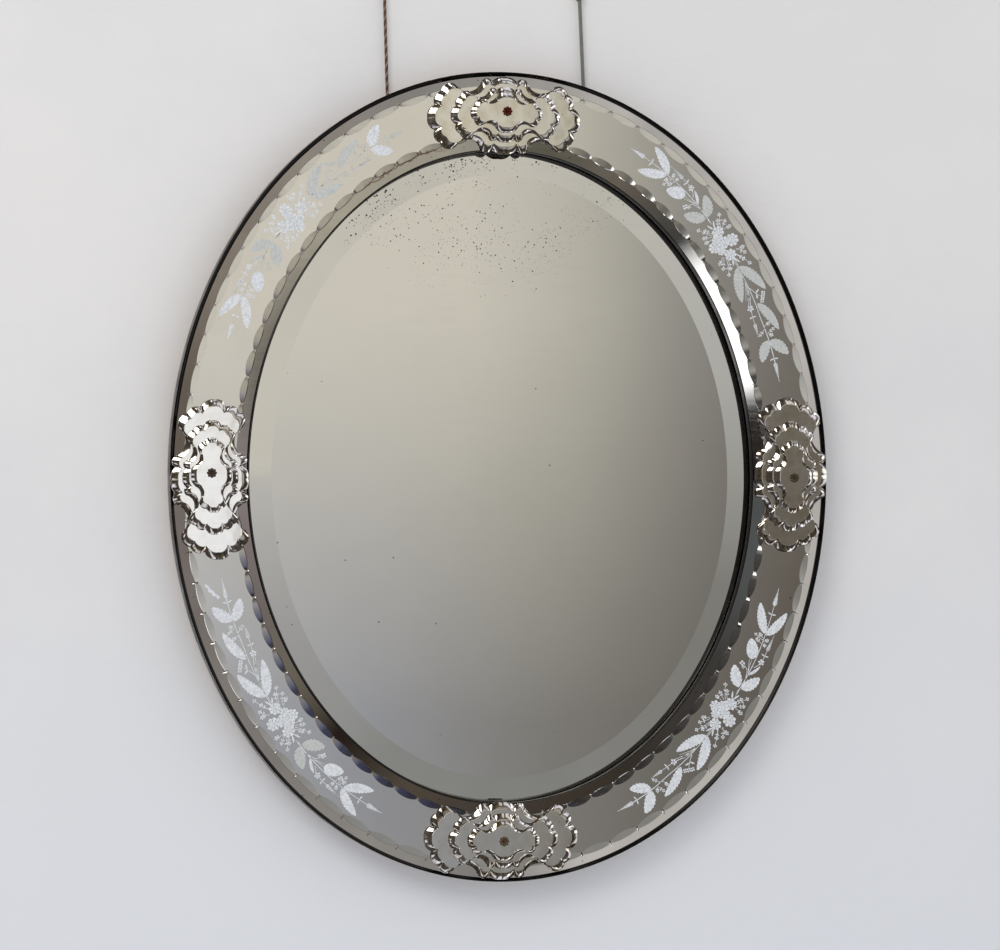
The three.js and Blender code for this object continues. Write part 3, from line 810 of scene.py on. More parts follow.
@dataclass
class Cord:
    """A taut cord from a ring behind the frame to a hook on the wall."""

    side: str
    foot: tuple[float, float, float]
    head: tuple[float, float, float]
    radius: float
    finishes: list[Finish]
    slot: Slot
    strands: int = 3
    lay_length: float = 0.0095
    lay_steps: int = 14
    strand_swell: float = 1.08
    strand_sides: int = 9
    plain_rings: int = 60
    plain_sides: int = 16
    loop_radius: float = 0.00115
    loop_sides: int = 8
    points: int = 16
    wraps: int = 3
    wrap_pitch: float = 2.25
    wrap_steps: int = 18
    wraps_start: float = -0.0116
    hook_eye_half: float = 0.0059
    hook_seat_z: float = 0.5006
    ring_eye_half: float = 0.0024
    ring_eye_drop: float = 0.0036

    def build(self, hook: bpy.types.Object) -> bpy.types.Object:
        """Makes the cord with its two tied loops.

        Args:
            hook: The wall hook that holds it; not used.

        Returns:
            The cord.
        """
        solid = Solid(f"hanging_cord_{self.side}")
        start, end = np.array(self.foot), np.array(self.head)
        length = float(np.linalg.norm(end - start))
        ahead = (end - start) / length
        side, other = across_axes(ahead)
        if self.strands > 1:
            strand = self.radius / (1 + 1 / math.sin(math.pi / self.strands)) * self.strand_swell
            orbit = self.radius - strand
            steps = int(length / self.lay_length * self.lay_steps)
            shares = np.linspace(0, 1, steps)
            for index in range(self.strands):
                turn = shares * length / self.lay_length * 2 * math.pi + index / self.strands * 2 * math.pi
                path = start + shares[:, None] * (end - start)
                path = path + orbit * (np.cos(turn)[:, None] * side + np.sin(turn)[:, None] * other)
                solid.tube(path, strand, self.strand_sides, slot=index % len(self.finishes))
        else:
            solid.tube(np.linspace(start, end, self.plain_rings), self.radius, self.plain_sides)
        cord = dress(solid.build(self.finishes, crease=50.0), self.slot, f"cord_{self.side}")
        upper = self.tie("upper", end, ahead, self.over_hook(end))
        lower = self.tie("lower", start, -ahead, self.round_ring(start))
        return cord

    def over_hook(self, end: np.ndarray) -> np.ndarray:
        """The loop from the whipping up one side of the hook, through its trough and down."""
        x, y, z = end
        half, seat = self.hook_eye_half, self.hook_seat_z
        side = [(0.0022, z - 0.0028), (half * 0.9, z + 0.0002), (half, z + 0.003), (half * 0.8, seat)]
        right = [(x + dx, y, dz) for dx, dz in side]
        left = [(x - dx, y, dz) for dx, dz in reversed(side)]
        return smooth_path([*right, (x, y, seat + 0.0002), *left], 44)

    def round_ring(self, start: np.ndarray) -> np.ndarray:
        """The loop from the whipping down in front of the ring's wire, under it and up behind."""
        x, y, z = start
        reach = self.ring_eye_half
        drop = z - self.ring_eye_drop
        points = [
            (x + 0.0008, y - 0.0016, z + 0.003), (x + 0.0006, y - reach, z - 0.0005),
            (x + 0.0003, y - reach * 0.8, drop + 0.0006), (x, y, drop),
            (x - 0.0003, y + reach * 0.8, drop + 0.0006), (x - 0.0006, y + reach, z - 0.0005),
            (x - 0.0008, y + 0.0016, z + 0.003),
        ]
        return smooth_path(points, 36)

    def tie(self, place: str, end: np.ndarray, ahead: np.ndarray, loop: np.ndarray) -> bpy.types.Object:
        """Makes one tied end: a loop, and a whipping of a few turns round the cord.

        Args:
            place: Which end it is.
            end: The cord's end.
            ahead: The direction out of the cord's end.
            loop: The loop's middle line.

        Returns:
            The tied end.
        """
        solid = Solid(f"cord_tie_{self.side}_{place}")
        side, other = across_axes(ahead)
        turns = np.linspace(0, self.wraps * 2 * math.pi, self.wrap_steps * self.wraps)
        orbit = self.radius + self.loop_radius * 0.75
        top = self.wraps_start + self.wraps * self.wrap_pitch * self.loop_radius
        climb = np.linspace(self.wraps_start, top, len(turns))
        whipping = end + climb[:, None] * ahead
        whipping = whipping + orbit * (np.cos(turns)[:, None] * side + np.sin(turns)[:, None] * other)
        solid.tube(whipping, self.loop_radius, self.loop_sides)
        solid.tube(loop, self.loop_radius, self.loop_sides)
        return dress(solid.build([self.finishes[0]], crease=50.0), self.slot)


def across_axes(ahead: np.ndarray) -> tuple[np.ndarray, np.ndarray]:
    """The two directions square to a cord's own direction."""
    side = np.cross(ahead, (0.0, 1.0, 0.0))
    side /= np.linalg.norm(side)
    return side, np.cross(ahead, side)


def smooth_path(points: list[tuple[float, float, float]], count: int) -> np.ndarray:
    """Runs a smooth curve through points.

    Args:
        points: The points that it passes.
        count: How many points it gets.

    Returns:
        The curve's points.
    """
    given = np.array(points, float)
    padded = np.concatenate([[2 * given[0] - given[1]], given, [2 * given[-1] - given[-2]]])
    places = np.linspace(0, len(given) - 1, count)
    curve = []
    for place in places:
        index = min(int(place), len(given) - 2)
        t = place - index
        a, b, c, d = padded[index:index + 4]
        curve.append(0.5 * (2 * b + (c - a) * t + (2 * a - 5 * b + 4 * c - d) * t**2
                            + (3 * b - a - 3 * c + d) * t**3))
    return np.array(curve)


@dataclass
class WallHook:
    """A hook on the wall: a strip bent into a trough, nailed through its plate."""

    side: str
    x: float
    finish: Finish
    trough_z: float = 0.501
    trough_radius: float = 0.0032
    thickness: float = 0.0014
    top_z: float = 0.538
    tip: float = 0.006
    width: float = 0.009
    nail_z: float = 0.529
    nail_radius: float = 0.0026
    nail_sides: int = 20
    arc_steps: int = 14
    rounding: float = 0.0003
    section_reach: float = 0.03

    def build(self) -> bpy.types.Object:
        """Makes the strip and the nail's head as one fitting."""
        centre = self.thickness + self.trough_radius
        turns = np.linspace(math.pi, 2 * math.pi, self.arc_steps)

        def arc(radius: float) -> list[tuple[float, float]]:
            """The trough's section at a radius."""
            return [(centre + radius * math.cos(t), self.trough_z + radius * math.sin(t)) for t in turns]

        tip_z = self.trough_z + self.tip
        outer = self.trough_radius + self.thickness
        outline = [(0.0, self.top_z), *arc(outer), (centre + outer, tip_z),
                   (centre + self.trough_radius, tip_z), *arc(self.trough_radius)[::-1],
                   (self.thickness, self.top_z)]
        solid = Solid(f"wall_hook_strip_{self.side}")
        half = self.width / 2
        loops = []
        full = half - self.rounding
        middle = np.mean(outline, axis=0)
        for x, inset in ((-half, self.rounding), (-full, 0.0), (full, 0.0), (half, self.rounding)):
            shrink = 1 - inset / self.section_reach
            loops.append(np.array([(self.x + x, -(middle[0] + (d - middle[0]) * shrink),
                                    middle[1] + (z - middle[1]) * shrink) for d, z in outline]))
        solid.stack(loops)
        around = np.linspace(0, 2 * math.pi, self.nail_sides, endpoint=False)
        head = [(1.0, -0.0002), (1.0, 0.0006), (0.7, 0.0013), (0.2, 0.0016)]
        rings = []
        for share, height in head:
            reach = share * self.nail_radius
            depth = np.full(len(around), -self.thickness - height)
            rings.append(np.stack([self.x + reach * np.cos(around), depth,
                                   self.nail_z + reach * np.sin(around)], axis=1))
        solid.stack(rings)
        return dress(solid.build([self.finish], crease=35.0), Slot.HANGER_BRASS, f"wall_hook_{self.side}")


@dataclass
class Hanger:
    """A strap with a ring, screwed to the back of the board."""

    side: str
    x: float
    finish: Finish
    front: float = 0.0077
    ring_centre_z: float = 0.348
    ring_depth: float = 0.0046
    ring_radius: float = 0.0065
    wire: float = 0.0011
    strap_width: float = 0.012
    strap_length: float = 0.020
    strap_thickness: float = 0.0012
    strap_overlap: float = 0.001
    strap_corner: float = 0.0045
    screw_heights: tuple[float, float] = (0.005, 0.0125)
    screw_sides: int = 16
    knuckle_radius: float = 0.0023
    knuckle_width: float = 0.0072
    knuckle_sides: int = 18
    ring_steps: int = 48
    wire_sides: int = 12

    def build(self) -> bpy.types.Object:
        """Makes strap, knuckle, ring and two screw heads as one fitting."""
        solid = Solid(f"strap_hanger_{self.side}")
        turns = np.linspace(0, 2 * math.pi, self.ring_steps + 1)[:-1]
        depth = np.full(self.ring_steps, -self.ring_depth)
        ring = np.stack([self.x + self.ring_radius * np.cos(turns), depth,
                         self.ring_centre_z + self.ring_radius * np.sin(turns)], axis=1)
        rows = []
        for point, turn in zip(ring, turns):
            out = np.array([math.cos(turn), 0.0, math.sin(turn)])
            bend = np.linspace(0, 2 * math.pi, self.wire_sides, endpoint=False)
            rows.append(point + self.wire * (np.cos(bend)[:, None] * out
                                             + np.sin(bend)[:, None] * np.array([0.0, 1.0, 0.0])))
        solid.sheet(np.array(rows), True, True)
        knuckle_z = self.ring_centre_z - self.ring_radius
        knuckle_depth = self.front - self.knuckle_radius
        half = self.knuckle_width / 2
        middle = np.array([(self.x + dx, -knuckle_depth, knuckle_z) for dx in (-half, 0.0, half)])
        solid.tube(middle, self.knuckle_radius, self.knuckle_sides)
        top = knuckle_z + self.strap_overlap
        bottom = top - self.strap_length
        across = self.strap_width / 2
        plate = round_corners([(self.x - across, bottom), (self.x + across, bottom),
                               (self.x + across, top), (self.x - across, top)], self.strap_corner, 6)
        self.plate(solid, plate, self.front, self.front - self.strap_thickness)
        for height in self.screw_heights:
            self.screw(solid, bottom + height)
        return dress(solid.build([self.finish], crease=35.0), Slot.HANGER_BRASS, f"hanger_{self.side}")

    def plate(self, solid: Solid, outline: list[tuple[float, float]], front: float, back: float) -> None:
        """Adds a flat plate between two depths."""
        solid.stack([np.array([(x, -depth, z) for x, z in outline]) for depth in (front, back)])

    def screw(self, solid: Solid, z: float) -> None:
        """Adds a domed screw head on the strap."""
        around = np.linspace(0, 2 * math.pi, self.screw_sides, endpoint=False)
        back = self.front - self.strap_thickness
        head = [(0.0021, back + 0.0002), (0.0021, back - 0.0003), (0.0014, back - 0.0009),
                (0.0003, back - 0.0011)]
        rings = []
        for reach, depth in head:
            rings.append(np.stack([self.x + reach * np.cos(around), np.full(self.screw_sides, -depth),
                                   z + reach * np.sin(around)], axis=1))
        solid.stack(rings)


@dataclass
class Backboard:
    """The oval board behind the mirror, with a raised pad that lies on the wall."""

    oval: Oval
    finish: Finish
    outer: float = 0.0395
    front: float = 0.017
    edge_back: float = 0.015
    back: float = 0.008
    chamfer_foot: float = 0.027
    pad_outer: float = -0.030
    pad_rounding: float = 0.001
    edge_rounding: float = 0.0006
    segments: int = 240

    def build(self) -> bpy.types.Object:
        """Makes the board as one closed body."""
        solid = Solid("back_board")
        sections = [
            (self.outer - self.edge_rounding, self.front), (self.outer, self.front - self.edge_rounding),
            (self.outer, self.edge_back), (self.chamfer_foot, self.back),
            (self.pad_outer + 0.0004, self.back),
            (self.pad_outer, self.back - 0.0004), (self.pad_outer, self.pad_rounding),
            (self.pad_outer - self.pad_rounding * 0.3, self.pad_rounding * 0.3),
            (self.pad_outer - self.pad_rounding, 0.0),
        ]
        solid.stack([self.oval.loop(offset, depth, self.segments) for offset, depth in sections])
        return dress(solid.build([self.finish], crease=25.0), Slot.BACK_WOOD, "backboard")


@dataclass
class BorderFrame:
    """The black border: an outer rim, the bed of the plates and the lip round the mirror."""

    oval: Oval
    finish: Finish
    outer: float = 0.0405
    rim_inner: float = 0.0371
    sight: float = -0.0382
    lip_outer: float = -0.0375
    rebate_outer: float = -0.0317
    back: float = 0.0173
    rebate_front: float = 0.0226
    bed: float = 0.0272
    lip_front: float = 0.0329
    rim_front: float = 0.0333
    rim_inner_front: float = 0.0302
    rim_crest: float = 0.0012
    rim_shoulder: float = 0.0004
    rounding: float = 0.0005
    segments: int = 360

    def build(self) -> bpy.types.Object:
        """Makes the border as one closed ring."""
        outline = [
            (self.rebate_outer, self.back), (self.rebate_outer, self.rebate_front),
            (self.sight, self.rebate_front), (self.sight, self.lip_front),
            (self.lip_outer, self.lip_front), (self.lip_outer, self.bed), (self.rim_inner, self.bed),
            (self.rim_inner, self.rim_inner_front), (self.outer - self.rim_crest, self.rim_front),
            (self.outer, self.rim_front - self.rim_shoulder), (self.outer, self.back),
        ]
        profile = round_corners(outline, self.rounding)
        loops = [self.oval.loop(offset, depth, self.segments) for offset, depth in profile]
        solid = Solid("black_border")
        solid.sheet(np.stack(loops), True, True)
        return dress(solid.build([self.finish], crease=40.0), Slot.EBONISED_WOOD, "border_frame")


@dataclass
class CentreMirror:
    """The centre mirror, with its wide bevel and its edge behind the lip."""

    oval: Oval
    finish: Finish
    edge: float = -0.0320
    arris: float = -0.0622
    back: float = 0.0173
    edge_front: float = 0.0199
    front: float = 0.0223
    segments: int = 480

    def build(self) -> bpy.types.Object:
        """Makes the glass as one closed body."""
        solid = Solid("centre_glass")
        rows = [(self.edge, self.back), (self.edge, self.edge_front)]
        rows += [(self.edge + (self.arris - self.edge) * share,
                  self.edge_front + (self.front - self.edge_front) * share) for share in (0.33, 0.67, 1.0)]
        solid.stack([self.oval.loop(offset, depth, self.segments) for offset, depth in rows])
        return dress(solid.build([self.finish], crease=2.0), Slot.AGED_MIRROR, "centre_mirror")


@dataclass(frozen=True)
class Scoop:
    """A thumb-shaped cut across an arris, at its fullest.

    It starts on the field, falls at a steady slope and rises to the bevel in a short step.
    """

    outside: float
    inside: float
    fall: float
    step: float


@dataclass
class FramePlate:
    """A quarter of the mirrored frame, with bevels, thumb-shaped scoops and small notches."""

    oval: Oval
    quarter: Quarter
    finish: Finish
    notch_depths: tuple[float, float]
    outer: float = 0.0369
    inner: float = -0.0373
    outer_bevel: float = 0.0104
    inner_bevel: float = 0.0123
    back: float = 0.0275
    edge_front: float = 0.0298
    front: float = 0.0325
    lobes: int = 15
    pitch: float = 0.02885
    columns: int = 30
    end_columns: int = 16
    outer_scoop: Scoop = Scoop(0.0022, 0.0050, 0.077, 0.0003)
    inner_scoop: Scoop = Scoop(0.0030, 0.0044, 0.19, 0.0007)
    scoop_least: float = 0.12
    scoop_roundness: float = 0.6
    scoop_rows: int = 4
    outer_notch: float = 0.0044
    inner_notch: float = 0.0022
    joint_half_gap: float = 0.00025
    margin: float = 0.0006
    field_lines: tuple[float, ...] = (0.009, 0.0, -0.009)

    def border(self, edge: float, bevel: float, scoop: Scoop, reach: float, bulge: float,
               notch: float) -> list[tuple[float, float]]:
        """One border of the section, from the glass edge to the field.

        Args:
            edge: The offset of the glass edge, negative on the inner side.
            bevel: The width of the bevel.
            scoop: The scoop on this border, at its fullest.
            reach: How far a notch reaches from the arris.
            bulge: How full the scoop is here, from 0 to 1.
            notch: How deep a notch is cut here, or 0 for none.

        Returns:
            Pairs of offset and depth.
        """
        way = math.copysign(1.0, edge)
        arris = edge - way * bevel
        slope = (self.front - self.edge_front) / bevel

        def surface(out: float) -> float:
            """The uncut depth at a distance outwards from the arris."""
            return self.front - slope * max(out, 0.0)

        def clear(out: float) -> tuple[float, float]:
            """A point of the uncut surface there."""
            return arris + way * out, surface(out)

        share = self.scoop_least + (1 - self.scoop_least) * bulge
        outside, inside, step = (size * share for size in (scoop.outside, scoop.inside, scoop.step))
        if notch:
            outs = np.linspace(reach, -reach / 2, self.scoop_rows + 1)
            depths = [surface(out) - notch for out in outs]
            depths[0], depths[-1] = surface(outs[0]), self.front
        else:
            outs = [outside, *np.linspace(outside - step, -inside, self.scoop_rows)]
            depths = [surface(outside), *(self.front - scoop.fall * (out + inside) for out in outs[1:])]
        margin = self.margin
        rim = [(edge, self.back), (edge, self.edge_front),
               (edge - way * margin, self.edge_front + slope * margin)]
        cut = [(arris + way * out, depth) for out, depth in zip(outs, depths)]
        before = clear(max(reach, scoop.outside) + margin)
        return [*rim, before, *cut, clear(-max(reach, scoop.inside) - margin)]

    def build(self) -> bpy.types.Object:
        """Makes the plate as one closed body."""
        quarter_length = self.oval.quarter_length()
        lobes_start = (quarter_length - self.lobes * self.pitch) / 2
        plain = np.linspace(self.joint_half_gap, lobes_start, self.end_columns, endpoint=False)
        steps = np.arange(self.lobes * self.columns + 1)
        scooped = lobes_start + steps / self.columns * self.pitch
        lengths = [*plain, *scooped, *(quarter_length - plain[::-1])]
        places = [0.0] * len(plain) + list((steps % self.columns) / self.columns) + [0.0] * len(plain)
        notches = [False] * len(plain) + [s % self.columns == 0 for s in steps] + [False] * len(plain)
        bulges = [math.sin(math.pi * place) ** self.scoop_roundness for place in places]
        angles = self.oval.walk(self.quarter, np.array(lengths))
        rows = []
        for angle, bulge, notch in zip(angles, bulges, notches):
            outer = self.border(self.outer, self.outer_bevel, self.outer_scoop, self.outer_notch, bulge,
                                notch * self.notch_depths[0])
            inner = self.border(self.inner, self.inner_bevel, self.inner_scoop, self.inner_notch, bulge,
                                notch * self.notch_depths[1])
            inner.reverse()
            middle = [(offset, self.front) for offset in self.field_lines]
            section = np.array([*outer, *middle, *inner])
            rows.append(self.oval.place(np.full(len(section), angle), section[:, 0], section[:, 1]))
        solid = Solid(f"engraved_plate_{self.quarter.label}")
        grid = solid.sheet(np.stack(rows), False, True)
        solid.add_face(grid[0])
        solid.add_face(grid[-1][::-1])
        piece = solid.build([self.finish])
        return dress(piece, Slot.FRAME_MIRROR, f"frame_plate_{self.quarter.label}")


class Tone(Enum):
    """How white a leaf or flower is cut."""

    WHITE = 0
    GREY = 1


@dataclass
class Spray:
    """The engraved spray of one quarter: leaves, buds and a bouquet along a stem.

    It is drawn flat, in millimetres: u runs counter-clockwise along the ring from the
    bouquet, and v runs from the band's middle towards the centre of the mirror.
    """

    oval: Oval
    quarter: Quarter
    bouquet_at: float
    greyed: frozenset[str]
    finishes: list[Finish]
    outer_edge: float = 0.0405
    band_middle: float = 0.038
    ground: float = 0.03252
    relief: float = 0.00014
    rib_gap: float = 0.03
    rib_lift: float = 0.25
    solid: Solid = field(init=False)
    tone: Tone = Tone.WHITE

    def __post_init__(self) -> None:
        """Starts the spray's solid."""
        self.solid = Solid(f"engraved_spray_{self.quarter.label}")

    def lay(self, outline: np.ndarray, lift: float = 1.0, tilt: np.ndarray | None = None) -> None:
        """Lays one flake of the drawing on the glass.

        Args:
            outline: Its corners as u and v.
            lift: How many reliefs its top stands above the glass.
            tilt: Extra lift of each corner.
        """
        outline = np.asarray(outline, float)
        arc = self.bouquet_at + outline[:, 0] * MM
        angles = self.oval.walk(self.quarter, arc, self.outer_edge)
        offsets = self.outer_edge - self.band_middle - outline[:, 1] * MM
        lifts = np.full(len(outline), lift) if tilt is None else lift + tilt
        top = self.oval.place(angles, offsets, self.ground + self.relief * lifts)
        bottom = self.oval.place(angles, offsets, np.full(len(outline), self.ground))
        self.solid.stack([bottom, top], self.tone.value)

    def leaf(self, base: tuple[float, float], tip: tuple[float, float], width: float, teeth: int,
             bend: float = 0.0, serrated: float = 0.2) -> None:
        """Cuts a leaf: two frosted halves with a toothed edge and a fine line between them.

        Args:
            base: Where it leaves the stem.
            tip: Its tip.
            width: Its full width.
            teeth: The number of teeth on each side.
            bend: How far its middle bows to the left.
            serrated: How deep the teeth are, as a share of the half width.
        """
        start, end = np.array(base), np.array(tip)
        along = end - start
        side = np.array([-along[1], along[0]]) / np.linalg.norm(along)
        gap = self.rib_gap

        def rib(t: float) -> np.ndarray:
            """A point of the middle line."""
            return start + along * t + side * bend * 4 * t * (1 - t)

        def fullness(t: float) -> float:
            """The share of the half width there."""
            return math.sin(math.pi * t**0.8) ** 0.62

        for way in (1, -1):
            edge = [rib(0.0)]
            for index in range(teeth):
                root = (index + 0.12) / teeth
                crown = (index + 1.0) / (teeth + 0.25)
                reach = width / 2 * fullness(crown)
                low = width / 2 * fullness(root) if root < 1 else 0.0
                edge.append(rib(root + 0.1 / teeth) + side * way * (gap + low * (1 - serrated)))
                edge.append(rib(min(crown + 0.1 / teeth, 0.99)) + side * way * (gap + reach))
            edge.append(rib(1.0))
            middle = [rib(t) + side * way * gap for t in (0.8, 0.5, 0.2)]
            lifts = np.array([0.0] * len(edge) + [self.rib_lift] * len(middle))
            self.lay([*edge, *middle][::way], 1.0, lifts[::way])

    def petals(self, centre: tuple[float, float], radius: float, count: int, turn: float = 0.0,
               fill: float = 0.86, hollow: float = 0.3, lift: float = 1.0) -> None:
        """Cuts a ring of round petals.

        Args:
            centre: The flower's middle.
            radius: The petals' outer reach.
            count: The number of petals.
            turn: The first petal's direction in radians.
            fill: How much of its sector each petal fills.
            hollow: The share of the radius that stays bare in the middle.
            lift: How many reliefs the petals stand above the glass.
        """
        for index in range(count):
            middle = turn + index / count * 2 * math.pi
            half = math.pi / count * fill
            shape = [(hollow, -0.35), (hollow + 0.34, -0.95), (0.86, -0.78), (1.0, -0.25),
                     (1.0, 0.25), (0.86, 0.78), (hollow + 0.34, 0.95), (hollow, 0.35)]
            outline = [(centre[0] + radius * r * math.cos(middle + half * a),
                        centre[1] + radius * r * math.sin(middle + half * a)) for r, a in shape]
            self.lay(outline, lift, np.array([0.9, 0.5, 0.1, 0.0, 0.0, 0.1, 0.5, 0.9]))

    def disc(self, centre: tuple[float, float], radius: float, sides: int = 7, lift: float = 1.6) -> None:
        """Cuts a small round berry or eye."""
        turns = np.arange(sides) / sides * 2 * math.pi
        outline = np.stack([centre[0] + radius * np.cos(turns), centre[1] + radius * np.sin(turns)], axis=1)
        self.lay(outline, lift)

    def stem(self, points: list[tuple[float, float]], width: float = 0.7) -> None:
        """Cuts a thin stem along points, tapering to its end."""
        flat = smooth_path([(u, v, 0.0) for u, v in points], max(4, 3 * len(points)))[:, :2]
        along = np.gradient(flat, axis=0)
        side = np.stack([-along[:, 1], along[:, 0]], axis=1) / np.linalg.norm(along, axis=1)[:, None]
        half = (width / 2 * np.linspace(1.0, 0.55, len(flat)))[:, None]
        self.lay(np.concatenate([flat + side * half, (flat - side * half)[::-1]]), 0.9)

    def blossom(self, centre: tuple[float, float], radius: float, turn: float, lift: float) -> None:
        """Cuts a full blossom: an outer and an inner ring of petals round an eye."""
        self.petals(centre, radius, 8, turn, 1.0, 0.42, lift)
        tone = self.tone
        self.tone = Tone.GREY
        self.disc(centre, radius * 0.5, 12, lift + 0.6)
        self.tone = tone
        self.petals(centre, radius * 0.52, 6, turn + 0.3, 0.95, 0.3, lift + 1.4)
        self.disc(centre, radius * 0.13, 6, lift + 2.2)

    def floret(self, centre: tuple[float, float], radius: float = 2.6, count: int = 5,
               turn: float = 0.4) -> None:
        """Cuts a small flower of round petals."""
        self.petals(centre, radius, count, turn, 0.8, 0.2)

    def sprig(self, root: tuple[float, float], tip: tuple[float, float], size: float = 2.3) -> None:
        """Cuts a twig with a small flower at its tip and two leaflets."""
        start, end = np.array(root), np.array(tip)
        along = end - start
        side = np.array([-along[1], along[0]]) / np.linalg.norm(along)
        self.stem([root, tuple(start + along * 0.5 + side * 0.4), tip], 0.6)
        self.floret(tip, size, 4, math.atan2(along[1], along[0]))
        for way in (1, -1):
            middle = start + along * 0.55
            end_point = middle + along / np.linalg.norm(along) * 1.6 + side * way * 2.1
            self.leaf(tuple(middle), tuple(end_point), 1.3, 2)

    def cross(self, centre: tuple[float, float], reach: float = 3.6) -> None:
        """Cuts two small opposite leaves across the stem."""
        for way in (1, -1):
            self.leaf(centre, (centre[0] + reach * 0.25, centre[1] + way * reach), 1.7, 2)

    def fern(self, start: tuple[float, float], tip: tuple[float, float], width: float,
             pairs: int = 8) -> None:
        """Cuts a fern's tip: pairs of leaflets that grow short towards a point."""
        begin, end = np.array(start), np.array(tip)
        along = end - begin
        ahead = along / np.linalg.norm(along)
        side = np.array([-ahead[1], ahead[0]])
        self.stem([start, tuple(begin + along * 0.5), tip], 0.8)
        for index in range(pairs):
            share = index / pairs
            root = begin + along * share * 0.8
            reach = width * (1 - share * 0.85)
            for way in (1, -1):
                self.leaf(tuple(root), tuple(root + ahead * reach * 0.9 + side * way * reach * 0.62), 1.25, 2)

    def part(self, label: str) -> None:
        """Starts a named part of the drawing and picks its tone."""
        self.tone = Tone.GREY if label in self.greyed else Tone.WHITE

    def draw_start(self) -> None:
        """Draws the clockwise arm: fern tip, leaf pair, long leaf and big leaf pair."""
        self.part("stem")
        self.stem([(-146, 1), (-120, 0.6), (-95, 1.2), (-70, 0.2), (-45, 0), (-20, 0.5)], 0.9)
        self.part("start_fern")
        self.fern((-146, 1), (-167.5, 1.4), 3.6)
        self.cross((-141, 1), -4.6)
        self.part("start_pair")
        self.leaf((-120.5, -0.6), (-140.4, -15.2), 13.0, 6, 0.8)
        self.leaf((-119.5, 2.2), (-141.6, 14.2), 11.9, 6, -0.8)
        self.part("start_sprigs")
        for root, tip in (((-113, 0.6), (-109.5, -7.6)), ((-106, 0.8), (-111.5, 7.6)),
                          ((-104, 0.6), (-102, -5.2)), ((-112, 0.8), (-115.5, -4.2))):
            self.sprig(root, tip, 1.9)
        self.part("long_leaf")
        self.leaf((-77, -1.6), (-112.2, -13.2), 10.4, 9, 1.4)
        self.part("lower_row")
        self.stem([(-68, 3.4), (-80, 7.2), (-98, 9.4), (-113, 10.4)], 0.7)
        self.fern((-97, 9.2), (-113, 10.2), 3.0, 6)
        self.cross((-89, 8.6), -3.8)
        self.floret((-79.5, 7.4), 3.6, 5)
        self.stem([(-60, 1.6), (-67, 5.2), (-76, 8.2)], 0.6)
        self.part("upper_row")
        self.stem([(-58, -0.6), (-66, -4.4), (-72, -8.4)], 0.7)
        for centre in ((-73, -9.6), (-69.2, -11.8), (-76.6, -7.4)):
            self.floret(centre, 2.5, 4)
        self.leaf((-66, -4.4), (-63.2, -9.2), 2.0, 3)
        self.leaf((-67, -4.8), (-72.6, -3.6), 1.8, 3)
        for v in (1.6, 3.2, 4.9):
            self.stem([(-48, 0.4), (-58, v * 0.75), (-69, v * 1.75)], 0.55)
        self.part("big_pair")
        self.leaf((-31, -1.0), (-66.2, -15.9), 11.7, 10, 1.6)
        self.leaf((-31, 0.8), (-68.8, 13.0), 11.2, 10, -1.4)

    def draw_bouquet(self) -> None:
        """Draws the bouquet with the twigs round it."""
        self.part("bouquet_sprigs")
        sprigs = [
            ((-16, -4), (-33.5, -13.2)), ((-17, -5), (-25.8, -9.6)), ((-12, -8), (-20.6, -14.2)),
            ((-14, -8), (-14.6, -15.4)), ((-16, 6), (-33.5, 12.2)), ((-17, 5), (-28.2, 7.6)),
            ((-13, 8), (-24.2, 14.4)), ((-12, 9), (-17.2, 14.8)), ((13, -8), (11.8, -15.6)),
            ((14, -7), (19.6, -14.4)), ((15, -6), (28.6, -13.8)), ((16, -4), (24.6, -8.6)),
            ((14, 7), (18.4, 14.2)), ((15, 6), (29.6, 13.8)), ((16, 4), (24.2, 8.8)), ((12, 9), (12.4, 15.2)),
        ]
        for root, tip in sprigs:
            self.sprig(root, tip, 2.2)
        for u in (-22, 22):
            self.stem([(u * 0.6, 0), (u, -1.0), (u * 1.45, -0.8)], 0.8)
            self.leaf((u * 0.9, 0.5), (u * 1.25, 3.6), 2.0, 3)
            self.leaf((u * 0.9, -1.0), (u * 1.25, -4.6), 2.0, 3)
        self.part("bouquet")
        self.blossom((-14.6, 0.2), 6.6, 0.2, 1.0)
        self.blossom((14.0, -1.6), 6.8, 0.9, 1.0)
        self.blossom((2.2, 10.4), 6.8, 0.5, 1.2)
        self.blossom((-1.8, -9.6), 7.2, 0.1, 1.4)
        self.blossom((-5.6, 6.2), 5.0, 0.4, 2.6)
        self.blossom((8.2, 4.6), 5.0, 1.0, 2.8)
        self.blossom((1.0, -0.4), 7.0, 0.7, 4.2)

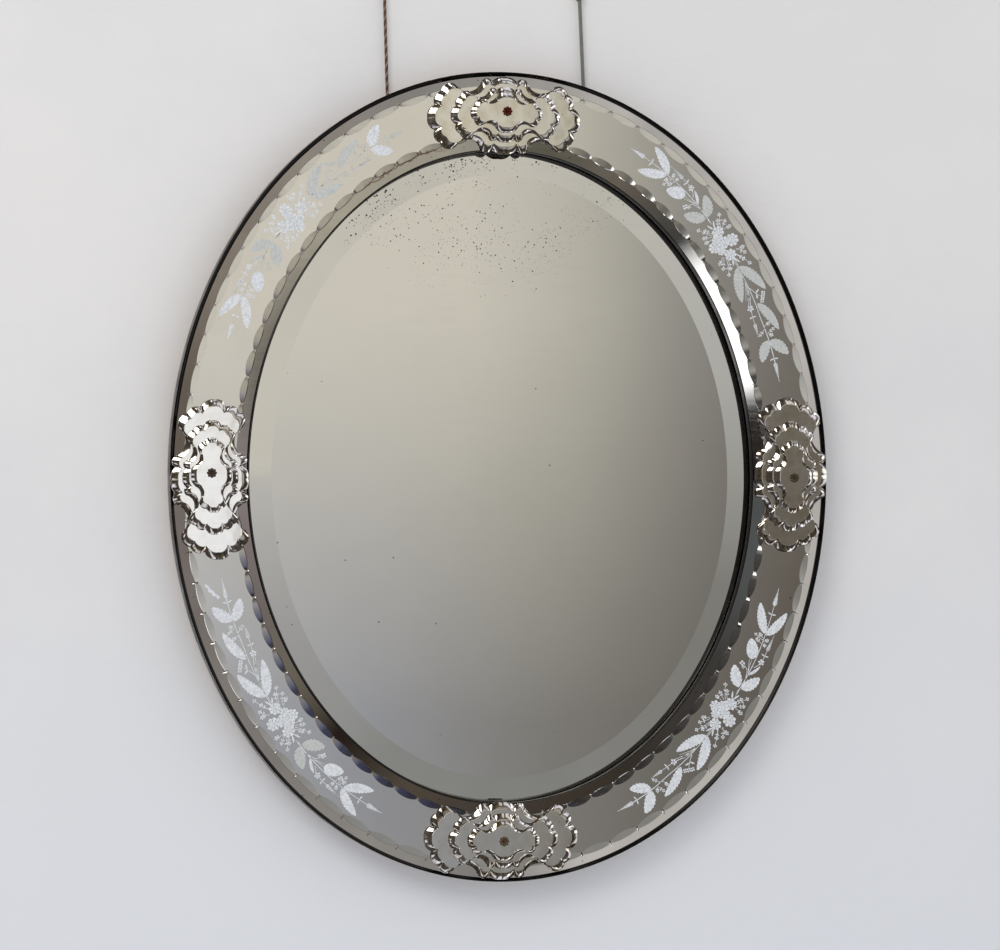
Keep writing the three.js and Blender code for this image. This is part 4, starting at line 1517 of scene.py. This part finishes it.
    def draw_end(self) -> None:
        """Draws the counter-clockwise arm: leaf pair, oval leaf, flower row, big pair, fern tip."""
        self.part("stem")
        self.stem([(20, -1), (45, -2), (70, -2.6), (95, -2.4), (122, -1.8), (134, -1.6)], 0.9)
        self.part("end_pair")
        self.leaf((34.5, -3.2), (55.0, -15.0), 12.4, 6, -0.8)
        self.leaf((34.5, 0.6), (55.0, 15.1), 13.4, 6, 0.8)
        self.part("end_twigs")
        self.leaf((52, -2.6), (66.5, -10.2), 3.4, 5, -0.8)
        self.stem([(46, -2), (56, 0.6), (60.4, 6.4)], 0.6)
        self.floret((60.8, 8.6), 3.0, 4)
        self.floret((57.4, 5.8), 1.8, 4)
        for v in (0.4, 2.2):
            self.stem([(52, -2), (62, v * 0.6), (69, v * 1.6)], 0.55)
        self.part("oval_leaf")
        self.leaf((69.5, 1.0), (91.0, 10.0), 13.4, 7, -0.6, 0.1)
        self.part("flower_row")
        self.stem([(62, -4.6), (70, -9.2), (84, -10.4), (103, -11.2)], 0.6)
        self.floret((71.0, -9.4), 3.4, 5)
        self.cross((78.6, -10.2), 4.0)
        self.fern((85, -10.4), (103.5, -11.4), 3.0, 7)
        self.part("small_flowers")
        for root, tip in (((90, -2.4), (92.6, 4.4)), ((94, -2.4), (97.4, 7.4)), ((92, -2.4), (95.8, -6.6)),
                          ((88, -2.4), (89.6, -5.8)), ((96, -2.4), (99.4, 3.2))):
            self.sprig(root, tip, 1.9)
        self.part("end_big_pair")
        self.leaf((100.5, -3.4), (130.8, -16.8), 10.4, 9, -1.2)
        self.leaf((101.5, -1.2), (132.9, 13.3), 10.7, 9, 1.2)
        self.part("end_fern")
        self.cross((124.0, -1.8), 4.4)
        self.fern((134.0, -1.6), (154.0, -1.4), 4.0)

    def draw_chip(self) -> None:
        """Draws the white chip in the glass beside the spray's clockwise end."""
        self.part("chip")
        self.lay([(-166.5, -16.2), (-163.0, -16.6), (-160.4, -14.2), (-157.6, -14.6), (-155.0, -11.6),
                  (-152.2, -11.4), (-150.4, -8.2), (-147.6, -7.2), (-148.4, -4.8), (-151.4, -5.6),
                  (-153.6, -8.4), (-156.8, -9.0), (-159.2, -11.6), (-162.2, -12.2), (-164.6, -14.4)], 1.0)

    def build(self) -> bpy.types.Object:
        """Makes the whole spray as one piece."""
        self.draw_start()
        self.draw_bouquet()
        self.draw_end()
        if self.quarter is Quarter.LOWER_LEFT:
            self.draw_chip()
        return dress(self.solid.build(self.finishes), Slot.FRAME_MIRROR)


@dataclass(frozen=True)
class Tier:
    """The sizes of one tier of a cartouche."""

    name: str
    half_length: float
    half_width: float
    thickness: float
    border: float
    plain: bool


@dataclass(frozen=True)
class Seat:
    """Where a cartouche sits on the ring, and how its tiers stray from its rosette."""

    name: str
    turn: float
    radius: float
    slide: float
    lean: float
    bend: float
    along: tuple[float, float, float]
    out: tuple[float, float, float]


@dataclass
class Cartouche:
    """A stack of three cusped tiers of silvered glass, held by a rosette screw."""

    seat: Seat
    seed: int
    glass: Finish
    ground: Finish
    brass: Finish
    tiers: tuple[Tier, ...] = (
        Tier("base", 0.0785, 0.0385, 0.0045, 0.0072, False),
        Tier("middle", 0.0560, 0.0275, 0.0042, 0.0063, False),
        Tier("top", 0.0365, 0.0200, 0.0038, 0.0052, True),
    )
    start: float = 0.0336
    gap: float = 0.0003
    edge: float = 0.0012
    arc_steps: int = 12
    cusp_share: float = 0.05
    groove: float = 0.00035
    hollow: float = 0.22
    waviness: float = 0.0001
    edge_rise: float = 0.0004
    field_step: float = 0.00004
    border_start: float = 0.04
    border_reach: float = 0.89
    border_rows: int = 7
    rosette_radius: float = 0.0049
    rosette_height: float = 0.0026
    rosette_sides: int = 96
    boss_share: float = 0.34
    petal_middle: float = 0.68
    petal_half: float = 0.36
    petal_floor: float = 0.0007
    petal_rise: float = 0.0011
    boss_rise: float = 0.0018

    def arc(self, start: np.ndarray, end: np.ndarray, sagitta: float) -> list[np.ndarray]:
        """The points of an arc after its start, bulging to the left of the way by sagitta."""
        chord = end - start
        half = np.linalg.norm(chord) / 2
        side = np.array([chord[1], -chord[0]]) / (2 * half)
        sweep = 2 * math.atan(abs(sagitta) / half)
        radius = half / math.sin(sweep)
        points = []
        near = self.cusp_share
        for share in (near, *np.linspace(3 * near, 1 - 3 * near, self.arc_steps - 3), 1 - near, 1.0):
            turn = sweep * (2 * share - 1)
            across = radius * math.sin(turn)
            rise = radius * (math.cos(turn) - math.cos(sweep)) * math.copysign(1, sagitta)
            points.append((start + end) / 2 + chord / (2 * half) * across + side * rise)
        return points

    def outline(self, tier: Tier) -> np.ndarray:
        """The cusped outline of a tier, in its own plane. Every arc has the same point count."""
        size = np.array([tier.half_length, tier.half_width])
        if tier.plain:
            cusps = [(1, 0), (0.9, 0.34), (0.68, 0.64), (0.32, 0.72), (0, 1)]
            sags = [0.08, 0.14, -0.13, 0.11]
        else:
            cusps = [(1, 0), (0.905, 0.33), (0.835, 0.67), (0.64, 0.8), (0.31, 0.83), (0.165, 0.89), (0, 1)]
            sags = [0.07, 0.085, 0.125, -0.19, 0.11, 0.045]
        places = [np.array(cusp) * size for cusp in cusps]
        quarter = [places[0]]
        for first, second, sag in zip(places, places[1:], sags):
            quarter += self.arc(first, second, sag * tier.half_width)
        half = quarter + [point * (-1, 1) for point in quarter[-2::-1]]
        return np.array(half + [point * (1, -1) for point in half[-2:0:-1]])

    def place(self, points: np.ndarray, heights: np.ndarray, depth: float,
              level: int | None = None) -> np.ndarray:
        """Carries points of a tier's own plane to their place on the ring.

        Args:
            points: The points, along the tier and outwards.
            heights: Their heights over the tier's back.
            depth: The depth of the tier's back.
            level: Which tier they belong to, or None for the rosette.

        Returns:
            The points in the room.
        """
        seat = self.seat
        along, out = points[:, 0], points[:, 1]
        shift = (0.0, 0.0)
        if level is not None:
            out = out - seat.bend * (along / self.tiers[0].half_length) ** 2
            cosine, sine = math.cos(seat.lean), math.sin(seat.lean)
            along, out = along * cosine + out * sine, out * cosine - along * sine
            shift = (seat.along[level], seat.out[level])
        along = along + seat.slide + shift[0]
        out = out + seat.radius + shift[1]
        x = along * math.cos(seat.turn) + out * math.sin(seat.turn)
        z = -along * math.sin(seat.turn) + out * math.cos(seat.turn)
        return np.stack([x, -(depth + heights), z], axis=1)

    def tier_piece(self, tier: Tier, level: int, depth: float, rng: np.random.Generator) -> bpy.types.Object:
        """Makes one tier: a cut edge, a hollow ground border with grooved cusps and a flat field."""
        outline = self.outline(tier)
        count = len(outline)
        knots = rng.normal(0.0, self.waviness, count // self.arc_steps + 1)
        waves = np.interp(np.arange(count), np.linspace(0, count, len(knots)), knots)
        place = np.arange(count) % (count // 4)
        grooves = np.where((place % self.arc_steps == 0) & (place > 0), self.groove, 0.0)
        span = np.array([tier.half_length, tier.half_width])
        low = self.edge + self.edge_rise
        top = tier.thickness - self.field_step
        rows = [(0.0, 0.0, 0.0), (0.0, self.edge, 0.0), (self.border_start, low, 0.3)]
        for share in np.linspace(0, 1, self.border_rows + 1)[1:]:
            height = low + (top - low) * (share + self.hollow * share * (1 - share))
            rows.append((self.border_start + self.border_reach * share, height, 1.0 - share**4))
        rows.append((1.0, tier.thickness, 0.0))
        loops = []
        for share, height, weight in rows:
            shrunk = outline * (1 - share * tier.border / span)
            loops.append(self.place(shrunk, height + (waves - grooves) * weight, depth, level))
        solid = Solid(f"cartouche_{self.seat.name}_{tier.name}_glass")
        solid.stack(loops)
        # Every face but the flat field takes the second finish, the darker border silver that paints shade.
        solid.slots[:-1] = [1] * (len(solid.slots) - 1)
        piece = solid.build([self.glass, self.ground], crease=12.0)
        return dress(piece, Slot.CARTOUCHE_GLASS, f"cartouche_{self.seat.name}_{tier.name}")

    def rosette(self, depth: float) -> bpy.types.Object:
        """Makes the screw's head: eight domed petals round a boss."""
        turns = np.linspace(0, 2 * math.pi, self.rosette_sides, endpoint=False)
        petal = np.abs(np.cos(turns * 4))
        eye = self.boss_share
        loops = []
        for share in np.linspace(1.0, 0.06, 14):
            reach = share * self.rosette_radius * (0.74 + 0.26 * petal**0.6)
            across = (share - self.petal_middle) / self.petal_half
            dome = math.sqrt(max(0.0, 1 - across**2)) if share > eye else 0.0
            boss = math.sqrt(max(0.0, 1 - (share / eye) ** 2))
            petals = self.petal_rise * dome * (0.3 + 0.7 * petal**0.5)
            height = self.petal_floor + petals + self.boss_rise * boss
            ring = np.stack([reach * np.cos(turns), reach * np.sin(turns)], axis=1)
            loops.append(self.place(ring, np.minimum(height, self.rosette_height), depth))
        foot = loops[0].copy()
        foot[:, 1] = -depth
        solid = Solid(f"rosette_{self.seat.name}")
        solid.stack([foot, *loops])
        piece = solid.build([self.brass], crease=50.0)
        return dress(piece, Slot.ROSETTE_BRASS, f"rosette_screw_{self.seat.name}")

    def build(self) -> list[bpy.types.Object]:
        """Makes the tiers and the rosette, each on top of the last."""
        rng = np.random.default_rng(self.seed)
        pieces = []
        depth = self.start
        for level, tier in enumerate(self.tiers):
            pieces.append(self.tier_piece(tier, level, depth, rng))
            depth += tier.thickness + self.gap
        pieces.append(self.rosette(depth))
        return pieces


@dataclass
class Room:
    """Wall, floor and light. None of it is part of the mirror."""

    wall_y: float = 0.0006
    floor_z: float = -1.45
    wall_half: float = 3.2
    wall_top: float = 2.4
    floor_reach: float = 3.4
    middle_azimuth: float = 14.3
    middle_elevation: float = 1.5
    near_from: tuple[float, float] = (7.5, 11.0)
    scoop_from: tuple[float, float] = (14.6, 15.4)
    dark_from: tuple[float, float] = (18.2, 19.2)
    far_from: tuple[float, float] = (24.0, 27.0)
    outer_from: tuple[float, float] = (36.0, 39.0)
    shade_from: tuple[float, float] = (8.0, 18.0)
    lamps: tuple[tuple[float, float, float, float], ...] = (
        (68.0, 6.0, 7.0, 1.6), (56.0, 36.0, 3.0, 3.0), (4.0, 57.0, 3.5, 3.0), (40.0, -46.0, 4.0, 2.0),
    )

    def surface(self, name: str, corners: list[tuple[float, float, float]],
                finish: Finish) -> bpy.types.Object:
        """Makes one flat surface of the room."""
        mesh = bpy.data.meshes.new(name)
        mesh.from_pydata(corners, [], [(0, 1, 2, 3)])
        mesh.materials.append(finish.material())
        plane = bpy.data.objects.new(name, mesh)
        bpy.context.scene.collection.objects.link(plane)
        return plane

    def build(self) -> None:
        """Makes the wall, the floor, the lights and the world."""
        side, y, low, top = self.wall_half, self.wall_y, self.floor_z, self.wall_top
        wall = self.surface("wall", [(-side, y, low), (side, y, low), (side, y, top), (-side, y, top)],
                            Plaster("plaster_wall"))
        wall.visible_diffuse = False
        wall.visible_shadow = False
        front = y - self.floor_reach
        corners = [(-side, front, low), (side, front, low), (side, y, low), (-side, y, low)]
        floor = self.surface("floor", corners, Plaster("pale_floor", one_sided=False))
        floor.visible_glossy = False
        self.area_light("key_light", (-1.9, -2.6, 2.0), (0.0, 0.0, 0.1), 1.7, 33.0, srgb(255, 250, 242))
        self.area_light("back_light", (1.6, 2.6, 1.2), (0.0, 0.0, 0.0), 1.6, 24.0, srgb(255, 252, 248))
        self.world()

    def area_light(self, name: str, place: tuple[float, float, float], target: tuple[float, float, float],
                   size: float, power: float, colour: Colour) -> None:
        """Adds a square soft light aimed at a point."""
        data = bpy.data.lights.new(name, "AREA")
        data.size = size
        data.energy = power
        data.color = colour
        lamp = bpy.data.objects.new(name, data)
        lamp.location = place
        lamp.rotation_euler = (Vector(target) - Vector(place)).to_track_quat("-Z", "Y").to_euler()
        bpy.context.scene.collection.objects.link(lamp)

    def world(self) -> None:
        """Makes the world: plain for the camera and for soft light, a dim room for reflections."""
        world = bpy.data.worlds.new("studio")
        bpy.context.scene.world = world
        world.use_nodes = True
        graph = Graph(world.node_tree)
        room = self.reflected_room(graph)
        ray = graph.add("ShaderNodeLightPath")
        soft = graph.blend(ray.outputs["Is Diffuse Ray"], room, srgb(226, 226, 228))
        seen = graph.blend(ray.outputs["Is Camera Ray"], soft, srgb(222, 222, 224))
        background = graph.add("ShaderNodeBackground")
        graph.feed(background.inputs["Color"], seen)
        end = graph.add("ShaderNodeOutputWorld")
        graph.feed(end.inputs["Surface"], background.outputs[0])

    def reflected_room(self, graph: Graph) -> Socket:
        """Colours the directions that the glass reflects, in rings round the middle one."""
        direction = graph.add("ShaderNodeTexCoord").outputs["Generated"]
        x, y, z = graph.split(direction)
        azimuth = graph.math("DEGREES", graph.math("ARCTAN2", x, graph.product(y, -1.0)))
        elevation = graph.math("DEGREES", graph.math("ARCSINE", z))
        right = graph.math("SUBTRACT", azimuth, self.middle_azimuth)
        up = graph.math("SUBTRACT", elevation, self.middle_elevation)
        squares = graph.math("ADD", graph.math("POWER", right, 2.0), graph.math("POWER", up, 2.0))
        away = graph.math("SQRT", squares)
        round_way = graph.math("DIVIDE", graph.math("ARCTAN2", up, right), 2 * math.pi)
        turn = graph.math("ADD", round_way, 0.5)
        unrest = graph.noise(direction, 7.0, 4.0, 0.6)
        colour = self.middle(graph, azimuth, elevation)
        colour = graph.blend(graph.remap(away, *self.near_from), colour, self.near_ring(graph, turn))
        colour = graph.blend(graph.remap(away, *self.scoop_from), colour, self.scoop_ring(graph, turn))
        colour = graph.blend(graph.remap(away, *self.dark_from), colour, self.dark_ring(graph, turn))
        colour = graph.blend(graph.remap(away, *self.far_from), colour, self.far_ring(graph, turn))
        shade = graph.remap(unrest, 0.3, 0.7, 0.88, 1.16, smooth=False)
        scale = graph.vector("SCALE", colour)
        shaded = graph.blend(graph.remap(away, *self.shade_from), (1.0, 1.0, 1.0), shade)
        graph.feed(scale.inputs["Scale"], shaded)
        colour = graph.blend(graph.remap(away, *self.outer_from), scale.outputs[0],
                             self.outer_room(graph, direction, away, turn))
        colour = graph.blend(self.bright_strip(graph, azimuth, elevation), colour, srgb(240, 241, 245))
        for lamp_azimuth, lamp_elevation, half_angle, strength in self.lamps:
            a, e = math.radians(lamp_azimuth), math.radians(lamp_elevation)
            aim = (math.sin(a) * math.cos(e), -math.cos(a) * math.cos(e), math.sin(e))
            dot = graph.vector("DOT_PRODUCT", direction, aim)
            edge = math.cos(math.radians(half_angle))
            core = math.cos(math.radians(half_angle * 0.7))
            lit = graph.remap(dot.outputs["Value"], edge, core)
            colour = graph.blend(lit, colour, (strength, strength * 0.98, strength * 0.94))
        return colour

    def middle(self, graph: Graph, azimuth: Socket, elevation: Socket) -> Socket:
        """The part of the room that fills the centre glass: cream above left, grey below right."""
        across = graph.remap(azimuth, 9.0, 20.0, smooth=False)
        upper = graph.ramp(across, [
            (0.0, 209, 204, 192), (0.42, 205, 200, 187), (0.58, 186, 182, 170), (0.74, 144, 141, 135),
            (0.88, 116, 111, 104),
        ])
        lower = graph.ramp(across, [
            (0.0, 178, 183, 192), (0.12, 158, 160, 166), (0.3, 148, 149, 154), (0.5, 130, 128, 124),
            (0.9, 86, 79, 71),
        ])
        return graph.blend(graph.remap(elevation, -2.2, 4.0, smooth=False), lower, upper)

    def near_ring(self, graph: Graph, turn: Socket) -> Socket:
        """What the centre glass's bevel reflects."""
        return graph.ramp(turn, [
            (0.0, 186, 183, 178), (0.07, 158, 157, 156), (0.17, 134, 134, 132), (0.45, 126, 125, 120),
            (0.55, 172, 171, 167), (0.7, 198, 194, 183), (1.0, 200, 196, 185),
        ])

    def scoop_ring(self, graph: Graph, turn: Socket) -> Socket:
        """What the scoops along the inner bevel reflect: dim and bluish from the lower half."""
        return graph.ramp(turn, [
            (0.0, 70, 66, 62), (0.034, 150, 148, 142), (0.109, 104, 102, 98), (0.152, 112, 108, 100),
            (0.3, 146, 142, 130), (0.39, 170, 165, 150), (0.466, 170, 165, 152), (0.51, 136, 134, 138),
            (0.57, 98, 100, 116), (0.609, 64, 66, 84), (0.7, 48, 50, 64), (0.8, 50, 48, 46),
            (0.966, 66, 64, 62),
        ])

    def dark_ring(self, graph: Graph, turn: Socket) -> Socket:
        """What the plates' inner bevels reflect: dim, with a white window below left."""
        window = (304.5, 304.5, 302.7)
        return graph.ramp(turn, [
            (0.0, 40, 34, 30), (0.026, 46, 42, 40), (0.036, *window), (0.078, *window),
            (0.1, 60, 61, 58), (0.152, 98, 91, 82), (0.23, 82, 80, 70), (0.3, 140, 133, 118),
            (0.39, 148, 140, 122), (0.425, 92, 84, 76), (0.466, 86, 80, 72), (0.505, 128, 118, 120),
            (0.57, 106, 100, 88), (0.603, 34, 26, 24), (0.65, 78, 70, 60), (0.75, 68, 60, 52),
            (0.85, 54, 48, 42), (0.93, 58, 56, 54), (0.97, 82, 84, 85),
        ])

    def far_ring(self, graph: Graph, turn: Socket) -> Socket:
        """What the plates' outer bevels reflect."""
        return graph.ramp(turn, [
            (0.0, 110, 102, 98), (0.17, 142, 138, 134), (0.25, 124, 122, 120), (0.31, 178, 174, 170),
            (0.66, 178, 174, 170), (0.79, 138, 134, 130), (0.91, 132, 124, 114), (0.97, 98, 90, 82),
        ])

    def outer_room(self, graph: Graph, direction: Socket, away: Socket, turn: Socket) -> Socket:
        """What steep facets reflect: a dark brown room, and farther round a broken row of windows."""
        things = graph.noise(direction, 4.5, 3.0, 0.55)
        dim = graph.ramp(things, [
            (0.34, 30, 28, 30), (0.46, 62, 57, 54), (0.54, 82, 75, 66), (0.6, 54, 50, 50),
            (0.66, 122, 110, 82), (0.74, 66, 60, 54),
        ])
        gaps = graph.remap(graph.noise(direction, 5.0, 2.0, 0.5), 0.42, 0.5)
        open_sides = graph.remap(turn, 0.73, 0.76, 1.0, 0.0)
        row = graph.product(graph.band(away, (52.5, 55.0), (60.0, 63.0)), gaps, open_sides)
        upper_right = graph.product(graph.band(turn, (0.55, 0.58), (0.72, 0.75)),
                                    graph.band(away, (40.0, 42.0), (48.0, 50.0)))
        return graph.blend(graph.math("MAXIMUM", row, upper_right), dim, srgb(238, 236, 243))

    def bright_strip(self, graph: Graph, azimuth: Socket, elevation: Socket) -> Socket:
        """A window strip beside the middle part, which only the left cartouche's glass reflects."""
        return graph.product(graph.band(azimuth, (3.4, 4.2), (6.2, 7.0)),
                             graph.band(elevation, (-3.0, -1.0), (5.0, 6.0)))


def build_cords(brass: Finish) -> None:
    """Builds the two cords with their wall hooks.

    Args:
        brass: The finish of the hooks.
    """
    brown = Yarn("brown_yarn", colour=srgb(116, 86, 66), shade=srgb(66, 46, 34))
    tan = Yarn("tan_yarn", colour=srgb(176, 158, 138), shade=srgb(112, 96, 80))
    grey = Yarn("grey_yarn", colour=srgb(136, 136, 130), shade=srgb(96, 96, 92))
    hooks = {side: WallHook(side, head[0], brass).build() for side, head in CORD_HEADS.items()}
    Cord("left", CORD_FEET["left"], CORD_HEADS["left"], 0.0017,
         [brown, tan, brown], Slot.BROWN_CORD).build(hooks["left"])
    Cord("right", CORD_FEET["right"], CORD_HEADS["right"], 0.0018,
         [grey], Slot.GREY_CORD, strands=1).build(hooks["right"])


def main() -> None:
    """Builds the camera, the cords, the mirror and the room."""
    logging.basicConfig(level=logging.INFO, format="%(name)s %(message)s")
    oval = Oval()
    brass = OldBrass("dull_brass", patina=srgb(128, 104, 62), bright=srgb(206, 176, 112))
    PhotoCamera().build()
    build_cords(brass)

    Backboard(oval, OldBoard("old_board")).build()
    BorderFrame(oval, BlackLacquer("black_lacquer")).build()
    CentreMirror(oval, CentreSilver("centre_silver")).build()
    for side, foot in CORD_FEET.items():
        Hanger(side, foot[0], brass).build()

    plain = PlateSilver("plate_silver")
    stained = PlateSilver("stained_plate_silver", stain_amount=0.8)
    frost = [Frosting("white_frosting"),
             Frosting("grey_frosting", pale=srgb(208, 211, 208), deep=srgb(192, 196, 194), clarity=0.1)]
    sprays = {
        Quarter.UPPER_RIGHT: (0.2755, {"start_pair", "long_leaf", "end_pair", "big_pair"}),
        Quarter.UPPER_LEFT: (0.2890, {"start_fern", "start_sprigs", "long_leaf", "lower_row", "upper_row",
                                      "big_pair", "end_pair", "end_twigs", "stem"}),
        Quarter.LOWER_LEFT: (0.2810, {"end_pair"}),
        Quarter.LOWER_RIGHT: (0.3080, set()),
    }
    narrow = {"outer": 0.0361, "outer_bevel": 0.0096, "edge_front": 0.03}
    notch_depths = {
        Quarter.UPPER_RIGHT: (0.00007, 0.00012), Quarter.UPPER_LEFT: (0.00006, 0.0001),
        Quarter.LOWER_LEFT: (0.00016, 0.0003), Quarter.LOWER_RIGHT: (0.0005, 0.00012),
    }
    for quarter, (bouquet_at, greyed) in sprays.items():
        finish = stained if quarter is Quarter.UPPER_LEFT else plain
        plate = FramePlate(oval, quarter, finish, notch_depths[quarter])
        if quarter is Quarter.UPPER_LEFT:
            plate = replace(plate, **narrow)
        plate.build()
        Spray(oval, quarter, bouquet_at, frozenset(greyed), frost).build()

    glasses = {
        "top": CartoucheSilver("top_cartouche_silver", sway=(0.0, 0.012)),
        "right": CartoucheSilver("right_cartouche_silver", sway=(0.004, 0.0)),
        "bottom": CartoucheSilver("bottom_cartouche_silver", sway=(-0.004, 0.008), warmth=0.1),
        "left": CartoucheSilver("left_cartouche_silver", sway=(-0.036, 0.0), warmth=0.1),
    }
    # Painted shade: the borders get a darker, browner silver than the fields, for the dim room that they
    # reflect.
    ground = CartoucheSilver("border_silver_painted_shade", tint=(0.9, 0.89, 0.87), warm=srgb(180, 160, 116),
                             warmth=0.5, polish=(0.06, 0.14))
    brasses = {
        "top": OldBrass("red_brass", patina=srgb(112, 52, 40), bright=srgb(184, 128, 104)),
        "right": OldBrass("olive_brass", patina=srgb(112, 104, 82), bright=srgb(160, 150, 124)),
        "bottom": OldBrass("pale_brass", patina=srgb(132, 112, 92), bright=srgb(186, 168, 140)),
        "left": OldBrass("grey_brass", patina=srgb(106, 94, 86), bright=srgb(160, 148, 138)),
    }
    seats = (
        Seat("top", 0.0, 0.3638, -0.0019, 0.0, 0.004, (0.0, 0.0, 0.0), (-0.003, -0.0025, -0.001)),
        Seat("right", math.pi / 2, 0.2995, 0.0, 0.010, 0.004, (-0.0033, -0.0016, -0.001), (0.0, 0.0, 0.0)),
        Seat("bottom", math.pi, 0.3638, 0.0040, 0.0, 0.0035, (0.0, -0.001, 0.0), (0.0, 0.0, 0.0)),
        Seat("left", -math.pi / 2, 0.2995, 0.0, -0.033, 0.007, (-0.0062, -0.0042, -0.002), (0.0, 0.0, 0.0)),
    )
    for seed, seat in enumerate(seats):
        Cartouche(seat, seed, glasses[seat.name], ground, brasses[seat.name]).build()

    Room().build()


if __name__ == "__main__":
    main()
